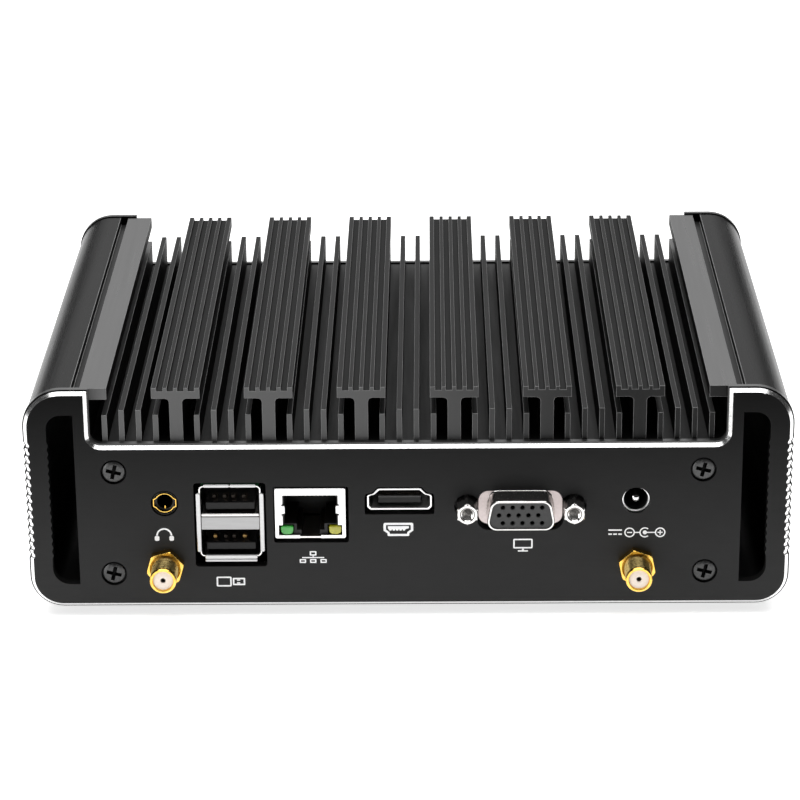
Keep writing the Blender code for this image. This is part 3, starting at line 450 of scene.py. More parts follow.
def placed(name, data):
    """A new object in the scene."""
    obj = bpy.data.objects.new(name, data)
    bpy.context.scene.collection.objects.link(obj)
    return obj


def smooth(obj, degrees=SHARP):
    obj.data.shade_smooth()
    obj.data.set_sharp_from_angle(angle=math.radians(degrees))


def lofted(name, rings, looks=(), loop=False, first_slot=0):
    """Rings of world points joined in turn.  The ends are capped, or the last ring joins the first.

    first_slot is the material slot of the faces between the first two rings.
    """
    shape = bmesh.new()
    made = [[shape.verts.new(point) for point in ring] for ring in rings]
    pairs = list(zip(made, made[1:])) + ([(made[-1], made[0])] if loop else [])
    for number, (near, far) in enumerate(pairs):
        for index in range(max(len(near), len(far))):
            corners = [near[index % len(near)], near[(index + 1) % len(near)]]
            corners += [far[(index + 1) % len(far)], far[index % len(far)]]
            face = shape.faces.new(list(dict.fromkeys(corners)))
            face.material_index = 0 if number else first_slot
    if not loop:
        for ring in (made[0], made[-1]):
            if len(ring) > 2:
                shape.faces.new(ring)
    return new_piece(name, shape, looks)


def prism(name, outline, depths, looks=(), facing=1):
    rings = [[spot(x, depth, height, facing) for x, height in outline] for depth in depths]
    return lofted(name, rings, looks)


def hollow(name, outer, inner, depths, looks=(), facing=1):
    """A ring-shaped prism between two outlines with the same number of points."""
    stations = [(outer, depths[0]), (outer, depths[1]), (inner, depths[1]), (inner, depths[0])]
    rings = [[spot(x, depth, height, facing) for x, height in outline] for outline, depth in stations]
    return lofted(name, rings, looks, loop=True)


def block(name, xs, depths, heights, looks=(), facing=1):
    return prism(name, rectangle(xs[0], xs[1], heights[0], heights[1]), depths, looks, facing)


def turned(name, centre, profile, looks=(), facing=1, sides=ROUND_SIDES, loop=False):
    """A turned solid on an axis along the depth, from a profile of (radius, depth)."""
    x, height = centre
    rings = []
    for radius, depth in profile:
        if radius == 0.0:
            rings.append([spot(x, depth, height, facing)])
        else:
            rings.append([spot(px, depth, pz, facing) for px, pz in circle(x, height, radius, sides)])
    return lofted(name, rings, looks, loop)


def upright(name, x, depth, profile, looks):
    """A turned solid on a vertical axis, from a profile of (radius, height)."""
    rings = []
    for radius, height in profile:
        points = [(x, depth)] if radius == 0.0 else circle(x, depth, radius, ROUND_SIDES)
        rings.append([spot(px, py, height) for px, py in points])
    return lofted(name, rings, looks)


def apply_modifiers(obj):
    graph = bpy.context.evaluated_depsgraph_get()
    mesh = bpy.data.meshes.new_from_object(obj.evaluated_get(graph))
    obj.modifiers.clear()
    obj.data = mesh


def cut(obj, *cutters):
    """Takes the cutters out of a piece, and removes them."""
    for cutter in cutters:
        modifier = obj.modifiers.new("difference", "BOOLEAN")
        modifier.operation = "DIFFERENCE"
        modifier.solver = "EXACT"
        modifier.object = cutter
    apply_modifiers(obj)
    for cutter in cutters:
        bpy.data.objects.remove(cutter)
    smooth(obj)


def bevel(obj, width, segments=2, slot=-1, angle=SHARP):
    """Rounds the sharp edges; slot is the material slot of the rounding."""
    modifier = obj.modifiers.new("bevel", "BEVEL")
    modifier.width = width * MM
    modifier.segments = segments
    modifier.limit_method = "ANGLE"
    modifier.angle_limit = math.radians(angle)
    modifier.harden_normals = True
    modifier.material = slot


def bevel_outer_edges(obj, width, segments, slot):
    """Rounds the outward edges and leaves the inward corners sharp."""
    shape = bmesh.new()
    shape.from_mesh(obj.data)
    shape.edges.ensure_lookup_table()
    weights = [0.0] * len(shape.edges)
    for edge in shape.edges:
        if len(edge.link_faces) == 2 and edge.is_convex and edge.calc_face_angle() > math.radians(SHARP):
            weights[edge.index] = 1.0
    shape.free()
    layer = obj.data.attributes.new("bevel_weight_edge", "FLOAT", "EDGE")
    layer.data.foreach_set("value", weights)
    bevel(obj, width, segments, slot)
    obj.modifiers["bevel"].limit_method = "WEIGHT"


def refined(name, node, looks, width, segments=2, slot=-1, outer=False):
    """A copy of a CAD solid with clean faces and rounded edges."""
    shape = bmesh.new()
    shape.from_mesh(frame["nodes"][node].data)
    bmesh.ops.remove_doubles(shape, verts=shape.verts, dist=1e-6)
    bmesh.ops.dissolve_limit(shape, angle_limit=math.radians(1.0), verts=shape.verts, edges=shape.edges)
    for face in shape.faces:
        face.material_index = 0
    obj = new_piece(name, shape, looks)
    if outer:
        bevel_outer_edges(obj, width, segments, slot)
    else:
        bevel(obj, width, segments, slot)
    belongs(obj, node)
    return obj


def belongs(obj, *nodes, body="case", slot=None):
    """Makes a piece move with its body and stand for CAD nodes."""
    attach(obj, body)
    if nodes:
        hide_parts(*nodes)
        slot = slot or node_slot(nodes[0])


def rounded_off(obj, width, segments, *nodes, slot=None):
    """A piece of the case with its edges rounded."""
    bevel(obj, width, segments)
    belongs(obj, *nodes, slot=slot)


def node_slot(node):
    return next(row["material_slot"] for row in frame["record"]["subparts"] if row["node"] == node)


# Case


def end_plate(name, node, facing, openings):
    """An end panel: bright-cut chamfer, corrugated sides, counterbored screw holes, connector openings."""
    stations = [(CHAMFER, 0.0), (RIM, CHAMFER - RIM), (0.0, CHAMFER), (0.0, PANEL_THICK)]
    rings = [[spot(x, depth, height, facing) for x, height in panel_ring(inset)] for inset, depth in stations]
    plate = lofted(name, rings, (PANEL_PAINTED_SHEEN, BRIGHT_CUT, SHADE_BLACK, ANODISED), first_slot=1)
    for face in plate.data.polygons:
        inwards = (face.center.y - PANEL_Y) / MM
        if facing < 0:
            inwards = CASE_DEPTH - inwards
        # The rim strip between the chamfer and the sides carries painted shade, except inside the notch.
        if CHAMFER - RIM < inwards < CHAMFER:
            in_notch = abs(face.center.x) < (NOTCH_HALF + CHAMFER) * MM and face.center.z > FIN_FLOOR * MM
            face.material_index = 3 if in_notch else 2
        elif CHAMFER < inwards < PANEL_THICK - 0.1:
            face.material_index = 3
    through = [slot_ring(), mirrored(slot_ring()), *openings]
    through += [circle(x, height, 1.55, 24) for x, height in SCREWS]
    cutters = [prism("cutter", outline, (-2.0, PANEL_THICK + 2.0), facing=facing) for outline in through]
    cutters += [turned("cutter", centre, [(0.0, -2.0), (3.05, -2.0), (3.05, 1.4), (0.0, 1.4)], facing=facing)
                for centre in SCREWS]
    cut(plate, *cutters)
    rounded_off(plate, 0.09, 2, node)


def hdmi_opening():
    """Close to the connector at its sides and top, wider below it."""
    half = [(7.95, 28.95, 0.4), (6.45, 29.35, 0.5), (5.2, 30.7, 0.5)]
    corners = [(-8.2, 23.75, 0.4), (8.2, 23.75, 0.4), (8.2, 28.0, 0.3), *half]
    corners += [(-x, height, radius) for x, height, radius in reversed(half)] + [(-8.2, 28.0, 0.3)]
    return [(HDMI_X + x, height) for x, height in rounded(corners, 4)]


def io_plate():
    x, height = VGA
    openings = [
        circle(*AUDIO, 3.25, ROUND_SIDES),
        rectangle(-50.5, -33.5, 10.5, 31.95, 0.8),
        rectangle(-31.8, -14.1, 16.6, 30.9, 0.6),
        hdmi_opening(),
        rectangle(x - 10.2, x + 10.2, 19.6, 29.75, 2.8, 8),
        circle(*DC_JACK, 3.3, ROUND_SIDES),
        *[circle(ax, az, 3.5, ROUND_SIDES) for ax, az, _ in ANTENNAS.values()],
        *[circle(x + side * JACKSCREW_REACH, height, 3.05, ROUND_SIDES) for side in (-1, 1)],
    ]
    end_plate("connector_plate", "io_panel", 1, openings)


def far_plate():
    openings = [
        circle(*BUTTON, 6.0, ROUND_SIDES),
        *[circle(*centre, 1.9, 32) for centre in LIGHT_PIPES.values()],
        rectangle(FAR_USB_X - 8.5, FAR_USB_X + 8.5, 10.5, 31.95, 0.8),
    ]
    end_plate("button_plate", "front_panel", -1, openings)


def shell_outline():
    edge = HALF - GAP
    return [
        (SHELL_INNER, GAP),
        *arc(HALF - BOTTOM_RADIUS, BOTTOM_RADIUS, BOTTOM_RADIUS - GAP, -90, 0, 14),
        *wavy_side(edge, WAVE_DEEP),
        *arc(HALF - TOP_RADIUS, TOP - TOP_RADIUS, TOP_RADIUS - GAP, 0, 90, 18),
        (SHELL_STEP, TOP - GAP),
        (SHELL_STEP, SHELL_GROOVE),
        (SHELL_INNER, SHELL_GROOVE),
    ]


def side_shells():
    """Extrusions with corrugated outer sides and an air channel."""
    channel = rounded([
        (SLOT_INNER, CHANNEL_BOTTOM, 0.6), (CHANNEL_OUTER, CHANNEL_BOTTOM, 4.8),
        (CHANNEL_OUTER, CHANNEL_TOP, 6.2), (SLOT_INNER, CHANNEL_TOP, 0.6),
    ], 10)
    for side, name in ((1, "right"), (-1, "left")):
        outline, hole = shell_outline(), channel
        if side < 0:
            outline, hole = mirrored(outline), mirrored(hole)
        ends = (PANEL_THICK + GAP, CASE_DEPTH - PANEL_THICK - GAP)
        shell = prism(f"shell_{name}", outline, ends, (SHELL_BLACK, ANODISED_EDGE_HIGHLIGHT, VALLEY_SHADE_BLACK, SHADE_BLACK))
        cut(shell, prism("cutter", hole, (0.0, CASE_DEPTH)))
        for face in shell.data.polygons:
            height = (face.center.z - CASE_BOTTOM) / MM
            away = abs(face.center.x) / MM
            inside = away < CHANNEL_OUTER + 0.05 and CHANNEL_BOTTOM - 0.1 < height < CHANNEL_TOP + 0.1
            # Painted shade: the groove floor and the lower channel get the valley shade, the step wall and
            # the upper channel the near-black shade.
            if face.normal.z > 0.9 and abs(height - SHELL_GROOVE) < 0.1:
                face.material_index = 2
            elif abs(face.normal.x) > 0.9 and height > SHELL_GROOVE and away < SHELL_STEP + 0.1:
                face.material_index = 3
            elif abs(face.normal.y) < 0.5 and inside:
                face.material_index = 3 if height > FIN_FLOOR else 2
        # The rounded edges carry a painted highlight.
        bevel(shell, 0.13, 2, slot=1)
        belongs(shell, f"side_shell_{name}")


def sink():
    """The finned extrusion, with painted light on its sawn ends, painted highlights on its edges and painted
    shade between the fins.
    """
    looks = (ANODISED, ANODISED_EDGE_HIGHLIGHT, SAWN_PAINTED_LIGHT, SHADE_BLACK, VALLEY_SHADE_BLACK, RIDGE_BLACK, GROOVE_BLACK)
    body = refined("finned_sink", "heat_sink", looks, 0.19, 2, slot=1, outer=True)
    # Painted shade: the floors between the fins and the fin walls above the fin floor get dark shade
    # materials.
    for face in body.data.polygons:
        height = (face.center.z - CASE_BOTTOM) / MM
        upwards = face.normal.z > 0.9
        if abs(face.normal.y) > 0.9:
            face.material_index = 2
        elif upwards and height < FIN_TOPS:
            face.material_index = 4
        elif upwards and T_GROOVE[0] < height < T_GROOVE[1]:
            face.material_index = 6
        elif upwards and abs(face.center.x) < T_FINS_HALF * MM:
            face.material_index = 5
        elif not upwards and height > FIN_FLOOR:
            face.material_index = 3


def screw_head(name):
    """A pan head with a tapered Phillips cross, its face on depth 0 and its axis through the origin."""
    head = turned(name, (0.0, 0.0), [
        (0.0, 0.0), (1.6, 0.02), (2.2, 0.12), (2.55, 0.32), (2.7, 0.6), (2.7, 1.1),
        (1.25, 1.12), (1.25, 8.6), (0.9, 9.0), (0.0, 9.0),
    ], (SCREW_BLACK, SHADE_BLACK), sides=40)
    cross = []
    for depth, arm, half in ((-0.3, 2.0, 0.52), (1.0, 1.25, 0.24)):
        tip = [(half, half), (half, arm), (-half, arm)]
        ring = []
        for index in range(4):
            angle = math.radians(-14.0 + 90.0 * index)
            cos, sin = math.cos(angle), math.sin(angle)
            ring += [spot(x * cos - y * sin, depth, x * sin + y * cos) for x, y in tip]
        cross.append(ring)
    cut(head, lofted("cutter", cross))
    # The faces inside the cross recess get painted shade.
    for face in head.data.polygons:
        away = face.center - spot(0.0, 0.0, 0.0)
        if 0.15 < away.y / MM < 1.02 and math.hypot(away.x, away.z) < 2.05 * MM:
            face.material_index = 1
    return head


def screws():
    """Every screw shares one mesh, turned to face its own way."""
    master = screw_head("screw_master")
    master.data.transform(Matrix.Translation(-spot(0.0, 0.0, 0.0)))
    bevel(master, 0.05, 1)
    apply_modifiers(master)
    mesh = master.data
    bpy.data.objects.remove(master)
    panels = (
        ("io_panel", [spot(x, 0.0, height) for x, height in SCREWS], (0, 0, 0)),
        ("front_panel", [spot(x, 0.0, height, -1) for x, height in SCREWS], (0, 0, 180)),
        ("bottom_cover", [spot(x, depth, 0.2) for x, depth in COVER_SCREWS], (90, 0, 0)),
    )
    for panel, places, turn in panels:
        for number, place in enumerate(places, 1):
            screw = placed(f"{panel}_phillips_{number}", mesh)
            screw.location = place
            screw.rotation_euler = [math.radians(angle) for angle in turn]
            belongs(screw, f"{panel}_screw_{number}")


def feet():
    for number in range(1, 5):
        low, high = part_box(f"rubber_foot_{number}")
        x, depth = (low.x + high.x) / 2 / MM, ((low.y + high.y) / 2 - PANEL_Y) / MM
        base = (low.z - CASE_BOTTOM) / MM
        foot = upright(f"foot_pad_{number}", x, depth, [
            (0.0, base + 0.5), (2.0, base + 0.5), (2.3, base + 0.2), (3.6, base + 0.2), (3.9, base),
            (5.1, base), (5.45, base + 0.1), (5.7, base + 0.45), (5.8, base + 1.0), (6.0, 0.0), (0.0, 0.0),
        ], RUBBER)
        belongs(foot, f"rubber_foot_{number}")


# Connectors


def audio():
    """A black collar with a stamped gold ring whose two ears lie at its sides."""
    refined("audio_body", "audio_jack_body", BLACK_PLASTIC, 0.1)
    collar = turned("audio_collar", AUDIO, [
        (3.1, 2.2), (3.1, 0.5), (3.0, 0.3), (2.9, 0.25), (2.8, 0.4), (2.8, 2.2),
    ], BLACK_PLASTIC, sides=64, loop=True)
    belongs(collar, slot="black_plastic")
    x, height = AUDIO

    def eared(shrink):
        """A circle with a flat ear at each side."""
        radius, ear, high = 2.42 - shrink, 2.72 - shrink, 0.95 - shrink
        reach = math.sqrt(radius ** 2 - (high + 0.35) ** 2)
        start = math.degrees(math.atan2(high + 0.35, reach))
        half = [(ear, -high), (ear, high), *arc(0.0, 0.0, radius, start, 180 - start, 24)]
        return twice(half, x, height)

    ring = hollow("audio_ring", eared(0.0), eared(0.2), (0.35, 1.1), GOLD)
    rounded_off(ring, 0.04, 1, "audio_jack_contact")
    spring = block("audio_spring", (x - 0.13, x + 0.13), (1.2, 6.0), (height - 1.75, height - 1.0), GOLD)
    rounded_off(spring, 0.05, 1, slot="gold")


def usb(prefix, centre, facing, plastic):
    """Two stacked ports: folded shell with flared lips, rolled middle plate, tongues with contacts."""
    names = {1: "usb_stack", -1: "front_usb"}[facing]
    walls = [rectangle(centre - half, centre + half, low, high, radius) for half, low, high, radius in (
        (7.3, 13.1, 31.2, 1.1), (6.95, 13.45, 30.85, 0.75))]
    tube = hollow(f"{prefix}_shell", *walls, (0.1, 17.2), NICKEL, facing)
    rounded_off(tube, 0.08, 2, f"{names}_shell")
    lips = (
        ("left", (-7.99, -6.93), (14.3, 29.4), 0.45, -0.2, 0.22),
        ("right", (6.93, 7.99), (14.3, 29.4), 0.45, -0.2, 0.22),
        ("top_left", (-6.2, -0.06), (30.8, 31.62), 0.3, -0.2, 0.2),
        ("top_right", (0.06, 6.2), (30.8, 31.62), 0.3, -0.2, 0.2),
        ("bottom", (-6.2, 6.2), (11.8, 12.45), 0.3, -0.2, 0.2),
        ("bottom_fold", (-6.2, 6.2), (12.42, 13.48), 0.3, -0.05, 0.2),
    )
    for word, (left, right), (low, high), radius, front, soft in lips:
        outline = rectangle(centre + left, centre + right, low, high, radius)
        lip = prism(f"{prefix}_lip_{word}", outline, (front, 0.6), DULL_NICKEL, facing)
        rounded_off(lip, soft, 3, slot="nickel")
    left, right = centre - 6.85, centre + 6.85
    for word, outline, front, look, soft, segments in (
        ("middle", rectangle(left, right, 19.95, 23.15, 0.1, 2), 0.25, ROLLED_STEEL, 0.12, 2),
        ("roll", rectangle(left, right, 23.38, 24.1, 0.3), 0.0, NICKEL, 0.2, 3),
    ):
        strip = prism(f"{prefix}_{word}", outline, (front, 9.5), look, facing)
        rounded_off(strip, soft, segments, slot="nickel")
    back = block(f"{prefix}_moulding", (centre - 6.6, centre + 6.6), (10.3, 16.9), (13.85, 30.45),
                 BLACK_PLASTIC, facing)
    rounded_off(back, 0.1, 2, f"{names}_insert")
    for number, low in enumerate(USB_TONGUES):
        tongue = block(f"{prefix}_tongue_{number}", (centre - 5.8, centre + 5.8), (1.2, 10.25),
                       (low, low + 1.8), plastic, facing)
        rounded_off(tongue, 0.2, 3, slot="black_plastic")
        for pin, offset in enumerate((-3.5, -1.0, 1.0, 3.5)):
            x = centre + offset
            # Contacts and springs get painted shade, except the outer springs of the lower port, which stay
            # gold.
            strip = rectangle(x - 0.5, x + 0.5, low + 1.82, low + 1.98)
            contact = prism(f"{prefix}_contact_{number}{pin}", strip, (2.0, 7.0), SHADED_CONTACT, facing)
            belongs(contact, slot="gold")
            look = DULL_GOLD if number == 0 and pin in (0, 3) else SHADED_CONTACT
            bend = rectangle(x - 0.85, x + 0.05, low + 2.0, low + 2.85, 0.3, 3)
            spring = prism(f"{prefix}_spring_{number}{pin}", bend, (3.2, 4.4), look, facing)
            rounded_off(spring, 0.12, 2, slot="gold")


def lan_mouth():
    """The plug opening: a spring tab at each side, room for the lights, and the latch's notch below."""
    middle = (LAN_LEFT + LAN_RIGHT) / 2
    half = [
        (6.5, 28.75), (6.5, 26.55), (6.8, 26.4), (6.75, 26.15), (6.0, 26.0), (6.0, 24.15), (6.75, 24.0),
        (6.8, 23.75), (6.5, 23.6), (6.5, 21.15), (7.45, 21.15), (7.45, 18.6), (2.45, 18.6), (2.45, 17.0),
    ]
    right = [(middle + x, height) for x, height in half]
    left = [(middle - x, height) for x, height in reversed(half)]
    return right + left


def lan():
    """The network jack: bright shell, moulding with eight contacts, two rounded lights."""
    outline = rectangle(LAN_LEFT, LAN_RIGHT, LAN_BOTTOM, LAN_TOP, 0.45, 4)
    inside = rectangle(LAN_LEFT + 0.4, LAN_RIGHT - 0.4, LAN_BOTTOM + 0.4, LAN_TOP - 0.4, 0.2, 4)
    shell = hollow("lan_shell", outline, inside, (0.1, 20.5), NICKEL)
    face = prism("lan_face", outline, (-0.2, 0.35), SATIN_NICKEL)
    cut(face, prism("cutter", lan_mouth(), (-1.0, 1.0)))
    belongs(shell, "lan_jack_shell")
    rounded_off(face, 0.07, 2, slot="nickel")
    refined("lan_moulding", "lan_jack_insert", BLACK_PLASTIC, 0.08)
    middle = (LAN_LEFT + LAN_RIGHT) / 2
    for pin in range(8):
        x = middle + (pin - 3.5) * 1.02
        rings = []
        for depth, low in ((2.4, 27.6), (6.0, 27.2), (10.0, 24.6), (11.4, 23.6)):
            section = ((-0.16, 0), (0.16, 0), (0.16, 0.3), (-0.16, 0.3))
            rings.append([spot(x + across, depth + off, low) for across, off in section])
        contact = lofted(f"lan_contact_{pin}", rings, DULL_GOLD)
        belongs(contact, slot="gold")
    for node, x0, x1, look in (
        ("lan_link_light", -30.1, -27.15, GREEN_LED),
        ("lan_traffic_light", -18.75, -15.85, YELLOW_LED),
    ):
        corners = [(x0, 18.75, 1.0), (x1, 18.75, 1.0), (x1, 20.85, 0.3), (x0, 20.85, 0.3)]
        light = prism(node.replace("light", "lens"), rounded(corners, 6), (-0.15, 3.2), look)
        rounded_off(light, 0.6, 6, node)


def hdmi_outline(shrink):
    corners = [
        (-6.9, 25.0, 0.5), (6.9, 25.0, 0.5), (7.6, 25.75, 0.4), (7.6, 28.7, 0.5), (6.2, 29.1, 0.6),
        (5.0, 30.4, 0.6), (-5.0, 30.4, 0.6), (-6.2, 29.1, 0.6), (-7.6, 28.7, 0.5), (-7.6, 25.75, 0.4),
    ]
    middle = (HDMI_BOTTOM + HDMI_TOP) / 2
    wide, high = 1 - shrink / 7.6, 1 - 2 * shrink / (HDMI_TOP - HDMI_BOTTOM)
    return [(HDMI_X + x * wide, middle + (z - middle) * high) for x, z in rounded(corners, 4)]


def hdmi():
    shell = hollow("hdmi_shell_tube", hdmi_outline(0.0), hdmi_outline(0.42), (-0.1, 12.0), SATIN_NICKEL)
    rounded_off(shell, 0.12, 3, "hdmi_shell")
    back = prism("hdmi_back", hdmi_outline(0.6), (8.6, 11.6), BLACK_PLASTIC)
    belongs(back, slot="black_plastic")
    tongue = block("hdmi_tongue", (HDMI_X - 5.0, HDMI_X + 5.0), (1.0, 8.5), (26.3, 28.1), TONGUE_PLASTIC)
    rounded_off(tongue, 0.18, 3, "hdmi_insert")
    # A lighter grey strip along the tongue's top front edge, a painted highlight on the black plastic.
    edge = block("hdmi_tongue_highlight", (HDMI_X - 5.05, HDMI_X + 5.05), (0.9, 1.5), (27.7, 28.15), GREY_PLASTIC)
    rounded_off(edge, 0.15, 3, slot="black_plastic")
    # The contacts get painted shade.
    for pin in range(19):
        x = HDMI_X + (pin - 9) * 0.5
        strip = rectangle(x - 0.13, x + 0.13, 28.12, 28.22)
        contact = prism(f"hdmi_contact_{pin}", strip, (1.6, 8.0), SHADED_CONTACT)
        belongs(contact, slot="gold")


def vga():
    """A drawn D-shaped shell that flares into its base, a socket with fifteen holes, two jackscrews."""
    x, height = VGA
    stations = [  # top width, bottom width, height, corner radius, depth
        (14.5, 17.1, 8.1, 2.4, 0.5), (14.5, 17.1, 8.1, 2.4, 0.1), (14.2, 16.8, 7.8, 2.3, -0.05),
        (14.0, 16.6, 7.6, 2.2, -0.35), (14.0, 16.6, 7.6, 2.2, -4.6), (13.94, 16.54, 7.54, 2.17, -5.3),
        (13.8, 16.4, 7.4, 2.12, -5.8), (13.6, 16.2, 7.2, 2.05, -5.98), (13.5, 16.1, 7.1, 2.0, -6.0),
        (12.95, 15.55, 6.65, 1.85, -6.0), (12.85, 15.45, 6.55, 1.8, -5.9), (12.85, 15.45, 6.55, 1.8, 0.5),
    ]
    rings = [[spot(px, depth, pz) for px, pz in d_outline(x, height, *size)] for *size, depth in stations]
    shell = lofted("vga_d_shell", rings, DRAWN_NICKEL, loop=True)
    smooth(shell, 40.0)
    belongs(shell, "vga_shell")
    inside = rectangle(x - 7.2, x + 7.2, height - 3.5, height + 3.5, 1.6, 8)
    base = hollow("vga_base", rectangle(x - 9.95, x + 9.95, height - 4.6, height + 3.85, 2.4, 8), inside,
                  (0.15, 1.2), FLANGE_NICKEL)
    rounded_off(base, 0.3, 3, slot="nickel")
    # A black plate behind the panel, painted shade seen through the openings around the shell and jackscrews.
    flange = hollow("vga_flange", rectangle(x - 15.4, x + 15.4, height - 6.6, height + 5.6, 1.0, 8), inside,
                    (2.8, 3.8), BLACK_PLASTIC)
    belongs(flange, slot="nickel")
    socket = prism("vga_socket", d_outline(x, height, 12.7, 15.3, 6.45, 1.75), (-5.6, 5.0), GREY_PLASTIC)
    holes = []
    for row in range(3):
        for column in range(5):
            px = x + 0.35 - 0.9 * (row == 1) + (column - 2) * 2.29
            profile = [(0.0, -7.0), (0.62, -7.0), (0.62, -5.55), (0.48, -5.4), (0.48, -2.0), (0.0, -2.0)]
            holes.append(turned("cutter", (px, height + (1 - row) * 1.98), profile, sides=20))
    cut(socket, *holes)
    bevel(socket, 0.08, 2, angle=50.0)
    belongs(socket, "vga_insert")
    for side, name in SIDES:
        jackscrew(f"vga_post_{name}", (x + side * JACKSCREW_REACH, height), f"vga_jackscrew_{name}")


def hexagon_rings(centre, flats, turn, stations):
    """Rings of a hexagonal bar whose corners are turned down to a radius, for each (radius, depth)."""
    x, height = centre
    rings = []
    for limit, depth in stations:
        ring = []
        for index in range(ROUND_SIDES):
            angle = math.tau * index / ROUND_SIDES
            near = (angle + math.pi / 6) % (math.pi / 3) - math.pi / 6
            radius = min(flats / 2 / math.cos(near), limit)
            turned_to = angle + math.radians(turn)
            ring.append(spot(x + radius * math.cos(turned_to), depth, height + radius * math.sin(turned_to)))
        rings.append(ring)
    return rings


def thread(radius, minor, start, end, pitch):
    """A profile of thread crests from one depth to another."""
    points = []
    count = int(abs(end - start) / pitch)
    step = (end - start) / count
    for index in range(count):
        at = start + step * index
        points += [(minor, at), (minor, at + step * 0.15)]
        points += [(radius, at + step * 0.42), (radius, at + step * 0.6)]
    points.append((minor, end))
    return points


def jackscrew(name, centre, node):
    corner = JACKSCREW_FLATS / math.sqrt(3)
    post = lofted(name, hexagon_rings(centre, JACKSCREW_FLATS, 0.0, [
        (2.3, -5.2), (corner, -4.9), (corner, 2.2), (2.4, 2.5),
    ]), NICKEL)
    bore = [(0.0, -6.0), (1.8, -6.0), (1.8, -5.2), (1.6, -4.95), *thread(1.25, 1.55, -4.9, 1.2, 0.75)]
    cut(post, turned("cutter", centre, bore + [(0.0, 1.2)], sides=32))
    rounded_off(post, 0.08, 2, node)


def power_jack():
    """A housing behind the panel's round hole, a bright contact sleeve and the centre pin."""
    low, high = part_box("dc_jack_housing")
    depths = (PANEL_THICK + 0.05, (high.y - PANEL_Y) / MM)
    heights = ((low.z - CASE_BOTTOM) / MM, (high.z - CASE_BOTTOM) / MM)
    housing = block("dc_body", (low.x / MM, high.x / MM), depths, heights, BLACK_PLASTIC)
    cut(housing, turned("cutter", DC_JACK, [(0.0, 0.0), (3.05, 0.0), (3.05, 11.0), (0.0, 11.0)]))
    rounded_off(housing, 0.25, 3, "dc_jack_housing")
    collar = turned("dc_collar", DC_JACK, [
        (3.26, 3.2), (3.26, 1.1), (3.2, 1.02), (2.94, 1.02), (2.86, 1.12), (2.86, 3.2),
    ], SATIN_NICKEL, sides=64, loop=True)
    belongs(collar, slot="nickel")
    throat = turned("dc_throat", DC_JACK, [
        (2.84, 1.45), (2.84, 10.9), (2.7, 10.9), (2.65, 1.9), (2.75, 1.5),
    ], BLACK_PLASTIC, sides=64, loop=True)
    belongs(throat, slot="black_plastic")
    pin = turned("dc_pin", DC_JACK, [
        (0.0, 1.2), (0.45, 1.25), (0.8, 1.5), (1.0, 2.0), (1.0, 16.0), (0.0, 16.0),
    ], CHROME, sides=32)
    belongs(pin, "dc_jack_pin")


def antenna(side):
    """A gold bulkhead connector: chamfered nut, threaded barrel, dielectric and contact."""
    x, height, turn = ANTENNAS[side]
    centre = (x, height)
    turned_pieces = (
        ("barrel", GOLD, 64, [
            (0.55, -6.0), (0.55, -8.0), (2.25, -8.35), (2.45, -8.7), (2.5, -8.95), (2.62, -9.0), (2.95, -9.0),
            (3.12, -8.75), (3.12, -8.1), (2.7, -7.95), (2.7, -0.8), (3.05, -0.6), (3.05, 0.0), (3.05, 2.8),
            (4.3, 2.85), (4.3, 4.4), (2.4, 4.4), (2.4, 8.0), (1.3, 8.0), (1.3, 14.0), (0.55, 14.0),
        ]),
        ("thread", DARKER_GOLD, 64, [(2.72, -7.9), *thread(3.12, 2.78, -7.85, -1.0, 0.98), (2.72, -1.0)]),
        ("insulator", DIELECTRIC, 48, [
            (0.62, -7.0), (0.62, -8.5), (0.7, -8.56), (2.25, -8.56), (2.36, -8.5), (2.36, -8.4), (0.9, -8.1),
            (0.9, -7.0),
        ]),
        # The centre contact gets painted shade.
        ("contact", SHADED_CONTACT, 24, [
            (0.34, -6.5), (0.34, -8.2), (0.42, -8.3), (0.58, -8.3), (0.58, -6.5),
        ]),
    )
    for word, look, sides, profile in turned_pieces:
        piece = turned(f"antenna_{word}_{side}", centre, profile, look, sides=sides, loop=True)
        if word == "barrel":
            belongs(piece, f"antenna_connector_{side}")
        else:
            belongs(piece, slot="gold")
    corner = NUT_FLATS / math.sqrt(3)
    nut = lofted(f"antenna_hex_{side}", hexagon_rings(centre, NUT_FLATS, turn - 30.0, [
        (4.35, -2.2), (corner, -1.98), (corner, -0.25), (4.4, -0.05),
    ]), GOLD)
    bore = [(0.0, -4.0), (3.6, -4.0), (3.6, -2.2), (3.2, -1.7), (3.2, 1.0), (0.0, 1.0)]
    cut(nut, turned("cutter", centre, bore))
    rounded_off(nut, 0.09, 2, f"antenna_nut_{side}")


# Far panel


def power_symbol(name, centre, size, depths, look, facing):
    """A broken ring with a bar in its gap."""
    x, height = centre
    thick = size * 0.17
    outer = arc(x, height, size, 125, 415, 40)
    inner = arc(x, height, size - thick, 125, 415, 40)
    ring = prism(f"{name}_ring", outer + inner[::-1], depths, look, facing)
    low, high = height + size * 0.25, height + size * 1.1
    stroke = rectangle(x - thick / 2, x + thick / 2, low, high, thick * 0.3, 3)
    bar = prism(f"{name}_bar", stroke, depths, look, facing)
    return ring, bar


